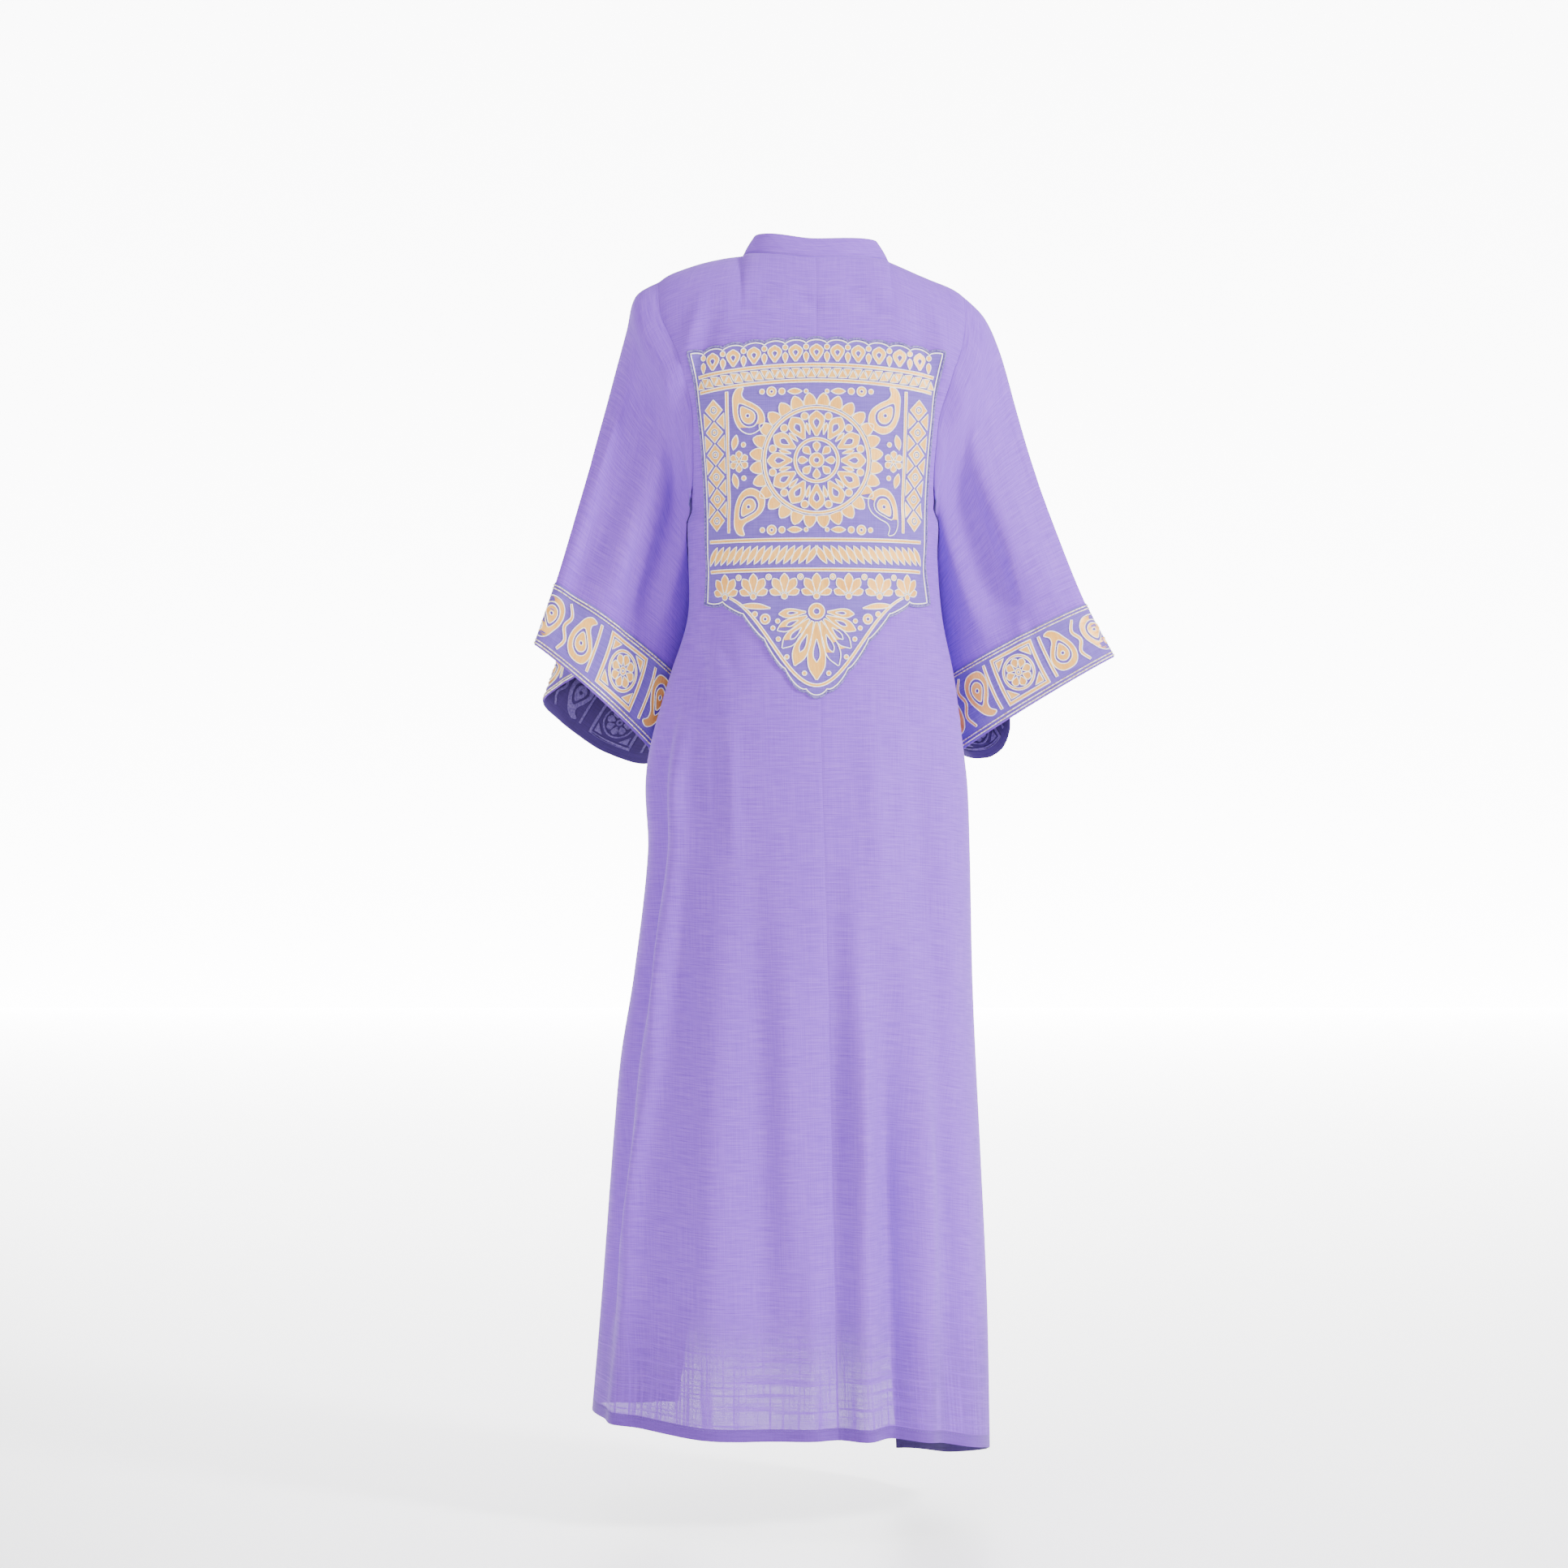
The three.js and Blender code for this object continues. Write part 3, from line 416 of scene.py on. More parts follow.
def lay_out(surface, columns, rows, outward, closed=False):
    """The worn grid of a piece: its points, normals and flat places, in millimetres."""
    column, row = np.meshgrid(np.asarray(columns, float), np.asarray(rows, float))
    points = surface(column, row)
    normals = normals_of(points, closed)
    j, i = points.shape[0] // 2, points.shape[1] // 4
    if np.dot(normals[j, i], outward(points[j, i])) < 0:
        normals = -normals
    flat = np.stack([lengths(points, 1), np.broadcast_to(
        lengths(points, 0).mean(axis=1, keepdims=True), column.shape)], -1)
    return {"points": points, "normals": normals, "flat": flat, "closed": closed}


def raised(piece, height):
    return piece["points"] + piece["normals"] * height


def grid_mesh(name, points, flat, outward_normals, closed=False):
    """A mesh from a flat grid whose vertices move to the points."""
    rows, columns = points.shape[:2]
    bm = bmesh.new()
    bmesh.ops.create_grid(bm, x_segments=columns - 1, y_segments=rows - 1, size=0.5)
    uv_layer = bm.loops.layers.uv.new("cloth")
    place = {}
    for vertex in bm.verts:
        i = round((vertex.co.x + 0.5) * (columns - 1))
        j = round((vertex.co.y + 0.5) * (rows - 1))
        place[vertex] = (j, i)
    for face in bm.faces:
        for loop in face.loops:
            loop[uv_layer].uv = flat[place[loop.vert]] * MM
    for vertex in bm.verts:
        vertex.co = points[place[vertex]] * MM
    bm.normal_update()
    bm.faces.ensure_lookup_table()
    middle = bm.faces[len(bm.faces) // 2 + columns // 4]
    if middle.normal.dot(outward_normals[place[middle.verts[0]]].tolist()) < 0:
        bmesh.ops.reverse_faces(bm, faces=bm.faces)
    if closed:
        bmesh.ops.remove_doubles(bm, verts=bm.verts, dist=1e-6)
    mesh = bpy.data.meshes.new(name)
    bm.to_mesh(mesh)
    bm.free()
    mesh.shade_smooth()
    return mesh


def add_piece(name, mesh, *materials):
    piece = bpy.data.objects.new(name, mesh)
    bpy.context.collection.objects.link(piece)
    for material in materials:
        mesh.materials.append(material)
    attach(piece, "root")
    return piece


def thicken(piece, thickness, outside=False):
    wall = piece.modifiers.new("thickness", "SOLIDIFY")
    wall.thickness = thickness * MM
    wall.offset = 1 if outside else -1
    wall.use_even_offset = False
    return wall

# %% [markdown]
# ## Colours and nodes
#
# Colours are written as the hex values that a screen shows, and one function turns them into the linear
# values that a shader needs. One small function adds a node with its settings and links.

# %% Colour and node helpers
def linear(hex_colour):
    channels = [int(hex_colour[k : k + 2], 16) / 255 for k in (1, 3, 5)]
    return [c / 12.92 if c <= 0.04045 else ((c + 0.055) / 1.055) ** 2.4 for c in channels] + [1]


def new_material(name):
    material = bpy.data.materials.new(name)
    material.use_nodes = True
    material.node_tree.nodes.clear()
    return material


def add_node(material, kind, inputs=None, **settings):
    tree = material.node_tree
    node = tree.nodes.new("ShaderNode" + kind)
    for setting, value in settings.items():
        setattr(node, setting, value)
    for socket, value in (inputs or {}).items():
        if isinstance(value, bpy.types.NodeSocket):
            tree.links.new(value, node.inputs[socket])
        else:
            node.inputs[socket].default_value = value
    return node


def finish_material(material, shader):
    add_node(material, "OutputMaterial", {"Surface": shader.outputs[0]})
    return material


# %% [markdown]
# ## Slub cloth
#
# The cloth is a plain weave of viscose and linen with slubs: threads that thicken for a few centimetres
# and then thin again. The eye sees short darker and lighter streaks along the weft and fainter ones along
# the warp, on a soft matt surface with a faint sheen. The threads are under half a millimetre apart,
# too fine to show in the render, so they are drawn coarser. Near the hem, where nothing dark stands
# behind it, the cloth lets some light through.

# %% Slub cloth material
WAVE_BAND = 0.314  # between the bands of a wave texture of scale 1
THREAD_DRAWN = 1.7  # between threads, mm; drawn coarser than the real 0.45 mm
SLUB_LONG, SLUB_THICK = 34, 1.5
WARP_LONG, WARP_THICK = 60, 1.3
GRID_LONG, GRID_THICK = 150, 3.2  # thicker threads that show against the light
SHEER_TOP, SHEER_FULL = -1.25, -1.36  # height over which the cloth starts to let light through, m


def streaks(material, place, long, thick, along_weft):
    per_metre = (1 / (long * MM), 1 / (thick * MM), 1)
    scale = per_metre if along_weft else (per_metre[1], per_metre[0], 1)
    mapping = add_node(material, "Mapping", {"Vector": place, "Scale": scale})
    noise = add_node(material, "TexNoise", {"Vector": mapping.outputs[0], "Scale": 1.0, "Detail": 2.5})
    return noise.outputs["Fac"]


def threads(material, place, direction):
    wave = add_node(
        material,
        "TexWave",
        {"Vector": place, "Scale": WAVE_BAND / (THREAD_DRAWN * MM), "Distortion": 0.6, "Detail": 1.0},
        bands_direction=direction,
    )
    return wave.outputs["Fac"]


def slub_cloth(name, light, middle, dark, sheer=0.0):
    material = new_material(name)
    place = add_node(material, "UVMap", uv_map="cloth").outputs["UV"]
    weft = streaks(material, place, SLUB_LONG, SLUB_THICK, True)
    warp = streaks(material, place, WARP_LONG, WARP_THICK, False)
    fine = streaks(material, place, SLUB_LONG * 0.3, SLUB_THICK * 0.5, True)
    weft_part = add_node(material, "Math", {0: weft, 1: 0.55}, operation="MULTIPLY").outputs[0]
    warp_part = add_node(material, "Math", {0: warp, 1: 0.25, 2: weft_part}, operation="MULTIPLY_ADD")
    both = add_node(
        material, "Math", {0: fine, 1: 0.2, 2: warp_part.outputs[0]}, operation="MULTIPLY_ADD"
    ).outputs[0]
    ramp = add_node(material, "ValToRGB", {"Fac": both})
    ramp.color_ramp.elements[0].position, ramp.color_ramp.elements[0].color = 0.33, linear(dark)
    ramp.color_ramp.elements[1].position, ramp.color_ramp.elements[1].color = 0.67, linear(light)
    ramp.color_ramp.elements.new(0.5).color = linear(middle)
    weave = add_node(
        material,
        "Math",
        {0: threads(material, place, "X"), 1: threads(material, place, "Y")},
        operation="MAXIMUM",
    ).outputs[0]
    relief = add_node(material, "Math", {0: weave, 1: 0.35, 2: both}, operation="MULTIPLY_ADD").outputs[0]
    bump = add_node(material, "Bump", {"Height": relief, "Strength": 0.35, "Distance": 0.5 * MM})
    inputs = {
        "Base Color": ramp.outputs["Color"],
        "Normal": bump.outputs[0],
        "Roughness": 0.72,
        "Specular IOR Level": 0.25,
        "Sheen Weight": 0.18,
        "Sheen Roughness": 0.45,
        "Sheen Tint": linear("#d9cdf5"),
    }
    if sheer:
        position = add_node(material, "TexCoord").outputs["Object"]
        height = add_node(material, "SeparateXYZ", {0: position}).outputs["Z"]
        reach = {"From Min": SHEER_TOP, "From Max": SHEER_FULL, "To Min": 0, "To Max": sheer}
        open_weave = add_node(material, "MapRange", {"Value": height, **reach}).outputs[0]
        close = [streaks(material, place, GRID_LONG, GRID_THICK, weft) for weft in (True, False)]
        close = add_node(material, "Math", {0: close[0], 1: close[1]}, operation="MAXIMUM").outputs[0]
        reach = {"From Min": 0.5, "From Max": 0.66, "To Min": 1.15, "To Max": 0.35}
        loose = add_node(material, "MapRange", {"Value": close, **reach}).outputs[0]
        through = add_node(material, "Math", {0: open_weave, 1: loose}, operation="MULTIPLY").outputs[0]
        inputs["Alpha"] = add_node(material, "Math", {0: 1.0, 1: through}, operation="SUBTRACT").outputs[0]
    return finish_material(material, add_node(material, "BsdfPrincipled", inputs))


LILAC = slub_cloth("lilac_slub_cloth", "#8e56d0", "#8046c8", "#6f38b6", sheer=0.22)
# Painted shade: the inside face is the same lilac cloth, given a dark purple for the shade inside the robe
# and the sleeves.
LILAC_INSIDE_PAINTED_SHADE = slub_cloth("lilac_slub_cloth_inside_painted_shade", "#43306e", "#3c2a64", "#332358", sheer=0.22)
LILAC_DOUBLED = slub_cloth("lilac_doubled_cloth", "#8e56d0", "#8046c8", "#6f38b6")
# Painted shade: the outer face of the turned-in hem is a darker copy of the lilac, for the light that the
# doubled cloth keeps back.
LILAC_HEM_PAINTED_SHADE = slub_cloth("lilac_hem_cloth_painted_shade", "#6a3ca6", "#62359c", "#572d8c")
# Painted shade: the inside of the doubled cloth and the turned-in strips is the same lilac, given a dark
# purple for the shade inside.
DOUBLED_INSIDE_PAINTED_SHADE = slub_cloth("doubled_cloth_inside_painted_shade", "#43306e", "#3c2a64", "#332358")
print("cloth materials:", LILAC.name, LILAC_INSIDE_PAINTED_SHADE.name)

# %% [markdown]
# ## The backs and the fronts
#
# Two backs meet in a seam down the middle, and two fronts end in open edges. Each takes the place of
# its solid. A seam draws the cloth in a little on both sides, which is what makes it show as a fine
# line, so the points near a sewn edge sink by less than a millimetre.

# %% Backs and fronts
BODY_COLUMNS = {"back": 68, "front": 56}
UPPER_ROWS, SKIRT_ROWS = 60, 190
HEM_WIDE = 14.0  # how far the hem is turned in, mm


def from_middle(point):
    return np.array((point[0], point[1], 0))


def sink_seams(piece, edges):
    """Draws a piece in along its sewn edges: inner, outer or top."""
    across, down = piece["flat"][..., 0], piece["flat"][..., 1]
    away = {"inner": across, "outer": across[:, -1:] - across, "top": down}
    for edge in edges:
        depth = SEAM_DIP * (INNER_SHARE if edge == "inner" else 1)
        dip = depth * np.exp(-((away[edge] / SEAM_REACH) ** 2))
        piece["points"] = piece["points"] - piece["normals"] * dip[..., None]


def sheet_area(piece):
    """The area of a piece's worn surface in square metres, which is that of its cut."""
    p = piece["points"] * MM
    a, b = p[1:, 1:] - p[:-1, :-1], p[1:, :-1] - p[:-1, 1:]
    return float(np.linalg.norm(np.cross(a, b), axis=-1).sum() / 2)


def add_cloth(piece, name, material, inside, thickness=CLOTH):
    mesh = grid_mesh(name, piece["points"], piece["flat"], piece["normals"], piece["closed"])
    made = add_piece(name, mesh, material, inside, *piece.get("doubled", ()))
    # The outer faces within the turned-in width of the hem take the darker lilac of painted shade.
    if "doubled" in piece:
        below = piece["flat"][-1, :, 1] - piece["flat"][:, :, 1]
        hem = (below[1:, 1:] + below[:-1, :-1]) / 2 < HEM_WIDE
        mesh.polygons.foreach_set("material_index", 2 * hem.ravel().astype(int))
    # The inner faces take the second material, the dark inside colour, which is painted shade.
    thicken(made, thickness).material_offset = 1
    made.modifiers.new("flat shading up to the edge", "WEIGHTED_NORMAL")
    return made


cloth = {}
for face in ("back", "front"):
    for side in ("left", "right"):
        columns = np.linspace(0, 1, BODY_COLUMNS[face] + 1)
        rows = np.concatenate([np.linspace(0, 1, UPPER_ROWS + 1), np.linspace(1, 2, SKIRT_ROWS + 1)[1:]])
        surface = lambda column, row: panel_point(face, side, column, row)
        piece = lay_out(surface, columns, rows, from_middle)
        if face == "back":  # at the middle seam both backs face straight back
            piece["normals"][:, 0, 0] = 0
        sink_seams(piece, ("inner", "outer", "top") if face == "back" else ("outer", "top"))
        name = f"{face}_{side}"
        # The hem band's materials: painted shade outside, and the dark inside colour of painted shade within.
        piece["doubled"] = (LILAC_HEM_PAINTED_SHADE, DOUBLED_INSIDE_PAINTED_SHADE)
        cloth[name] = piece
        made = add_cloth(piece, f"cloth_{name}", LILAC, LILAC_INSIDE_PAINTED_SHADE)
        piece["object"] = made
        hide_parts(name)
        size = piece["flat"][-1].max(axis=0) * MM
        widest = piece["flat"][..., 0].max() * MM
        print(f"{name}: cut {widest:.3f} by {size[1]:.3f} m, area {sheet_area(piece):.3f} m2")

# %% [markdown]
# ## The sleeves
#
# A wide sleeve hangs folded nearly flat, with a fold along the top of the arm and another underneath.
# Its ring starts as the armhole and opens into a flat oval. At the cuff the front layer falls in a fold
# of its own. The rings are worked out round the sleeve in degrees: 0 is the upper fold and 90 the back.

# %% Sizes of the sleeves
SLEEVE_LENGTH = 487
SLEEVE_BLEND = 150
UNDERARM_CLEARANCE, BODY_CLEARANCE = 0.8, 1.6  # between a sleeve and the body, mm
UNDERARM_EASE = 2
CUFF_FOLD_START = 230
LINE_COLUMNS = "along upper_x upper_y upper_drop lower_x lower_y lower_drop"
SLEEVE_LINES = {
    "left": table(
        LINE_COLUMNS,
        (0, 193, 0, 25, 154, 0, 305),
        (36, 222, 0, 44, 153, -9, 318),
        (82, 233, 0, 86, 149, -27, 342),
        (150, 249, 0, 151, 151, -43, 368),
        (220, 268, 1, 218, 150, -51, 402),
        (303, 291, 3, 298, 155, -54, 452),
        (405, 320, 5, 396, 170, -51, 512),
        (487, 346, 8, 473, 198, -44, 610),
    ),
    "right": table(
        LINE_COLUMNS,
        (0, 182, 0, 43, 147, 0, 305),
        (36, 208, 0, 70, 146, -9, 318),
        (82, 227, 0, 112, 142, -27, 342),
        (150, 245, 0, 180, 145, -43, 369),
        (220, 266, 1, 249, 146, -51, 404),
        (303, 295, 3, 330, 151, -54, 453),
        (405, 332, 5, 422, 161, -51, 513),
        (487, 367, 8, 488, 180, -44, 604),
    ),
}
SLEEVE_DEPTHS = table(
    "along back front crease left_sag right_sag",
    (0, 62, 62, 1, 0, 0),
    (82, 58, 62, 1.05, 0, 0),
    (150, 52, 60, 1.12, 0, 0),
    (220, 46, 58, 1.2, 4, 3),
    (303, 40, 56, 1.3, 14, 11),
    (405, 32, 54, 1.4, 32, 24),
    (487, 26, 52, 1.45, 50, 40),
)
SLEEVE_FOLDS = {
    "left": table(
        FOLD_COLUMNS,
        (50, 38, 60, 480, 120, 13, -9.6, 0),
        (78, 66, 70, 450, 120, 13, 11.2, 0),
        (108, 98, 60, 440, 120, 13, -11.2, 0),
        (250, 262, 80, 450, 120, 14, -11.2, 0),
        (290, 296, 80, 400, 120, 14, 9.6, 0),
        (30, 22, 10, 300, 90, 7, 3.5, 0),
        (64, 50, 20, 380, 100, 6, -3.8, 0),
        (92, 84, 120, 470, 110, 7, 3.5, 0),
        (124, 112, 90, 400, 100, 8, 3.8, 0),
        (70, 96, 240, 470, 90, 6, -2.9, 0),
    ),
    "right": table(
        FOLD_COLUMNS,
        (68, 54, 40, 420, 120, 13, 9.6, 0),
        (98, 84, 60, 440, 120, 13, -9.6, 0),
        (252, 262, 80, 450, 120, 14, -11.2, 0),
        (290, 298, 80, 400, 120, 14, 9.6, 0),
        (28, 24, 20, 320, 100, 7, -3.5, 0),
        (48, 40, 60, 440, 110, 7, 3.2, 0),
        (80, 72, 140, 470, 110, 6, -3.5, 0),
        (118, 104, 80, 430, 110, 8, 3.8, 0),
        (60, 88, 260, 480, 90, 6, 2.9, 0),
    ),
}
# The front layer at the cuff's hem, in even steps from the upper fold round to the lower one
CUFF_STEPS = 14
FALL_COLUMNS = "step outwards back down"
CUFF_FRONT = {
    "left": table(
        FALL_COLUMNS,
        (0, 0, 0, 0),
        (1, -28, -4, 13),
        (2, -54, -9, 33),
        (3, -31, -15, 50),
        (4, -9, -21, 70),
        (5, -28, -33, 92),
        (6, -50, -45, 110),
        (7, -73, -55, 126),
        (8, -92, -61, 135),
        (9, -108, -64, 141),
        (10, -122, -64, 145),
        (11, -134, -61, 146),
        (12, -142, -57, 144),
        (13, -147, -54, 140),
        (14, -148, -52, 137),
    ),
    "right": table(
        FALL_COLUMNS,
        (0, 0, 0, 0),
        (1, -25, -4, 7),
        (2, -51, -9, 20),
        (3, -77, -14, 34),
        (4, -102, -19, 50),
        (5, -124, -25, 67),
        (6, -126, -36, 91),
        (7, -133, -46, 110),
        (8, -146, -54, 121),
        (9, -159, -59, 124),
        (10, -170, -61, 124),
        (11, -178, -59, 122),
        (12, -183, -56, 120),
        (13, -186, -54, 118),
        (14, -187, -52, 116),
    ),
}


# %% Sleeve surface
def clear_of_body(points, side):
    """Moves a sleeve's points out of the body's oval, below the underarm."""
    x, y, drop = points[..., 0], points[..., 1], -points[..., 2]
    half = read(TORSO, "drop", drop, side)
    depth = np.where(y >= 0, read(TORSO, "drop", drop, "back"), read(TORSO, "drop", drop, "front"))
    lift = np.maximum(0, fold_height(BODY_FOLDS, 90 * SIGN[side], drop))
    room = mix(UNDERARM_CLEARANCE, BODY_CLEARANCE, smooth(drop, UNDERARM_DROP, UNDERARM_DROP + 60)) + lift
    reach = np.hypot(x / (half + room), y / (depth + room))
    push = np.where((drop > UNDERARM_DROP) & (reach < 1), 1 / np.maximum(reach, 0.2), 1)
    return np.stack([x * push, y * push, -drop], -1)


def sleeve_point(side, turn, along):
    """The outer face at a turn in degrees and a distance along the upper fold."""
    sign = SIGN[side]
    angle = np.radians(turn)
    sine, cosine = np.sin(angle), np.cos(angle)
    behind = turn <= 180

    def line(end, at):
        columns = [read(SLEEVE_LINES[side], "along", at, f"{end}_{axis}") for axis in ("x", "y", "drop")]
        return np.stack([sign * columns[0], columns[1], -columns[2]], -1)

    def depths(column):
        return read(SLEEVE_DEPTHS, "along", along, column)

    upper, lower = line("upper", along), line("lower", along)
    middle, reach = (upper + lower) / 2, (upper - lower) / 2
    backward = np.stack([-reach[..., 1], reach[..., 0], 0 * along], -1) * sign
    backward /= np.linalg.norm(backward, axis=-1, keepdims=True)
    bulk = np.where(sine >= 0, depths("back"), depths("front")) * np.abs(sine) ** depths("crease")
    lift = fold_height(SLEEVE_FOLDS[side], turn, along) * smooth(np.abs(sine), 0, 0.5)
    oval = middle + reach * cosine[..., None] + backward * (np.sign(sine) * (bulk + lift))[..., None]
    oval[..., 2] -= np.where(sine < 0, depths(f"{side}_sag") * np.abs(sine) ** 0.8, 0)
    step = (360 - turn) / (180 / CUFF_STEPS)
    hem = [read(CUFF_FRONT[side], "step", step, name) for name in ("outwards", "back", "down")]
    fallen = upper + np.stack([sign * hem[0], hem[1], -hem[2]], -1)
    folded = smooth(along, CUFF_FOLD_START, SLEEVE_LENGTH) * (~behind)
    oval = mix(oval, fallen, folded[..., None])
    row = np.where(behind, turn, 360 - turn) / 180
    one = np.ones_like(row)
    armhole = np.where(
        behind[..., None], panel_point("back", side, one, row), panel_point("front", side, one, row)
    )
    upper_share = ((1 + cosine) / 2)[..., None]
    start = 0 * along
    carried = armhole + (upper - line("upper", start)) * upper_share
    carried = carried + (lower - line("lower", start)) * (1 - upper_share)
    ease = UNDERARM_EASE * (1 - upper_share[..., 0]) * smooth(np.abs(sine), 0, 0.3)
    carried[..., 0] += sign * ease * smooth(along, 0, 40)
    blend = smooth(along, 0, SLEEVE_BLEND)[..., None]
    return clear_of_body(mix(carried, oval, blend), side)


# %% Sleeves
SLEEVE_COLUMNS, SLEEVE_ROWS = 176, 104


def from_sleeve(side):
    middle = sleeve_point(side, np.linspace(0, 360, 25), np.full(25, 260.0)).mean(axis=0)
    return lambda point: point - middle


for side in ("left", "right"):
    turns = np.linspace(0, 360, SLEEVE_COLUMNS + 1)
    rows = np.linspace(0, 1, SLEEVE_ROWS + 1) ** 1.1 * SLEEVE_LENGTH
    surface = lambda turn, along: sleeve_point(side, turn, along)
    piece = lay_out(surface, turns, rows, from_sleeve(side), closed=True)
    sink_seams(piece, ("top",))
    name = f"sleeve_{side}"
    cloth[name] = piece
    made = add_cloth(piece, f"cloth_{name}", LILAC_DOUBLED, LILAC_INSIDE_PAINTED_SHADE)
    piece["object"] = made
    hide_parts(name)
    round_cuff = piece["flat"][-1, -1, 0] * MM
    print(f"{name}: {round_cuff:.3f} m round the cuff, area {sheet_area(piece):.3f} m2")

# %% [markdown]
# ## The collar
#
# The low collar is one straight strip folded double along its top edge. It stands up from the neck seam
# and leans in a little, so the row at the top is a soft round edge.

# %% Collar
COLLAR_HEIGHT, COLLAR_LEAN = 27, 15
COLLAR_THICK = 2.0
COLLAR_ROWS, COLLAR_COLUMNS = 9, 104
COLLAR_SEAT = 1.4  # how far the collar reaches down over the neck's edge


def collar_points(edge, share):
    inward = np.stack([-edge[..., 0], -edge[..., 1] - 8, 0 * share], -1)
    inward /= np.linalg.norm(inward, axis=-1, keepdims=True)
    lean = mix(COLLAR_LEAN, COLLAR_LEAN * 1.3, smooth(-edge[..., 1], 0, NECK_FRONT))
    rise = np.sqrt(COLLAR_HEIGHT**2 - lean**2 + COLLAR_LEAN**2)
    moved = edge + inward * (lean * share**1.3)[..., None]
    moved[..., 2] += rise * share - COLLAR_SEAT
    return moved


def neck_edge(count):
    """The neck seam from the right open edge round the back to the left one, evenly spaced."""
    stretches = []
    for face, side, turned in (
        ("front", "right", False),
        ("back", "right", True),
        ("back", "left", False),
        ("front", "left", True),
    ):
        column = np.linspace(0, NECK_SHARE[face], 40)
        points = panel_point(face, side, column, 0 * column)
        stretches.append(points[::-1] if turned else points)
    edge = np.concatenate(stretches)
    away = distances(edge)
    return along_line(edge, away, np.linspace(0, away[-1], count))


edge = neck_edge(COLLAR_COLUMNS + 1)
surface = lambda column, share: collar_points(edge[np.round(column).astype(int)], share)
piece = lay_out(surface, np.arange(COLLAR_COLUMNS + 1), np.linspace(0, 1, COLLAR_ROWS + 1), from_middle)
cloth["stand_collar"] = piece
collar = add_cloth(piece, "cloth_stand_collar", LILAC_DOUBLED, LILAC_DOUBLED, COLLAR_THICK)
rounded = collar.modifiers.new("soft edges", "BEVEL")
rounded.width, rounded.segments, rounded.limit_method = 0.9 * MM, 2, "ANGLE"
rounded.angle_limit = math.radians(60)
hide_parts("stand_collar")
print(f"collar {piece['flat'][0, -1, 0]:.0f} mm round the neck")

# %% [markdown]
# ## Embroidery, drawn flat
#
# The gold work is satin stitch: long threads laid side by side until they fill a shape, with a fine cord
# sewn along its outline. It could be a bump in a material, but then it would have no edges and no height.
# So each shape is drawn flat, as an outline in millimetres, and made into a thin pad later. All shapes
# come from a few kinds: a ribbon whose width changes along a line, a loop through a few points, a disc
# and a straight-sided polygon. A motif is a list of outlines: the first is its edge and the rest are
# holes in it.

# %% Shapes for embroidery
OUTLINE_STEP = 2.3  # between two points of an outline, mm


def evenly(points, step=OUTLINE_STEP, loop=False):
    """Points at even steps along a smooth line, or loop, through a few points."""
    points = np.array(points, float)
    if loop:
        points = np.concatenate([points[-2:], points, points[:3]])
    away = np.concatenate([[0], np.cumsum(np.hypot(*np.diff(points, axis=0).T))])
    first, last = (away[2], away[-3]) if loop else (away[0], away[-1])
    count = max(6, int((last - first) / step))
    at = np.linspace(first, last, count, endpoint=not loop)
    rows = {"away": away, "x": points[:, 0], "y": points[:, 1]}
    return np.stack([read(rows, "away", at, "x"), read(rows, "away", at, "y")], -1)


def ribbon(path, widths, step=OUTLINE_STEP):
    """The outline of a ribbon along a smooth line, with its widths at even steps."""
    line = evenly(path, step)
    share = np.linspace(0, 1, len(widths))
    rows = {"share": share, "width": np.array(widths, float)}
    half = read(rows, "share", np.linspace(0, 1, len(line)), "width") / 2
    run = np.gradient(line, axis=0)
    run /= np.hypot(*run.T)[:, None]
    aside = np.stack([-run[:, 1], run[:, 0]], -1) * half[:, None]
    return np.concatenate([line + aside, (line - aside)[::-1]])


def polygon(*corners, step=3.2):
    corners = np.array(corners, float)
    sides = []
    for start, end in zip(corners, np.roll(corners, -1, axis=0)):
        count = max(1, round(np.hypot(*(end - start)) / step))
        sides.append(start + (end - start) * (np.arange(count) / count)[:, None])
    return np.concatenate(sides)


def disc(radius, step=2.0):
    count = max(9, round(2 * math.pi * radius / step))
    turn = 2 * math.pi * np.arange(count) / count
    return np.stack([radius * np.sin(turn), radius * np.cos(turn)], -1)


def placed(motif, x=0.0, y=0.0, turn=0.0, size=1.0, mirror=False):
    """A motif moved to its place: turned clockwise in degrees, scaled and shifted."""
    angle = math.radians(turn)
    moved = []
    for outline in motif:
        p = outline * (-size if mirror else size, size)
        across = p[:, 0] * math.cos(angle) + p[:, 1] * math.sin(angle) + x
        up = p[:, 1] * math.cos(angle) - p[:, 0] * math.sin(angle) + y
        moved.append(np.stack([across, up], -1))
    return moved


def inset(outline, share):
    """A smaller copy of an outline round the same middle."""
    middle = outline.mean(axis=0)
    return middle + (outline - middle) * share


# %% Motifs
LIGHT, DEEP, PALE = 0, 1, 2  # one gold thread in three tints: lit, painted shade and painted highlight, each laid in its own direction
LEAF = (0.3, 4.4, 6.6, 6.8, 4.6, 0.3)
DROP = (1.2, 3.6, 6.2, 7.4, 6.4, 0.8)


def petal(start, end, width, widths=DROP, hole=0.0):
    outline = ribbon([(0, start), (0, end)], [w * width / 7 for w in widths])
    return [outline, inset(outline, hole)] if hole else [outline]


def ring(radius, width):
    return [disc(radius, 2.6), disc(radius - width, 2.6)]


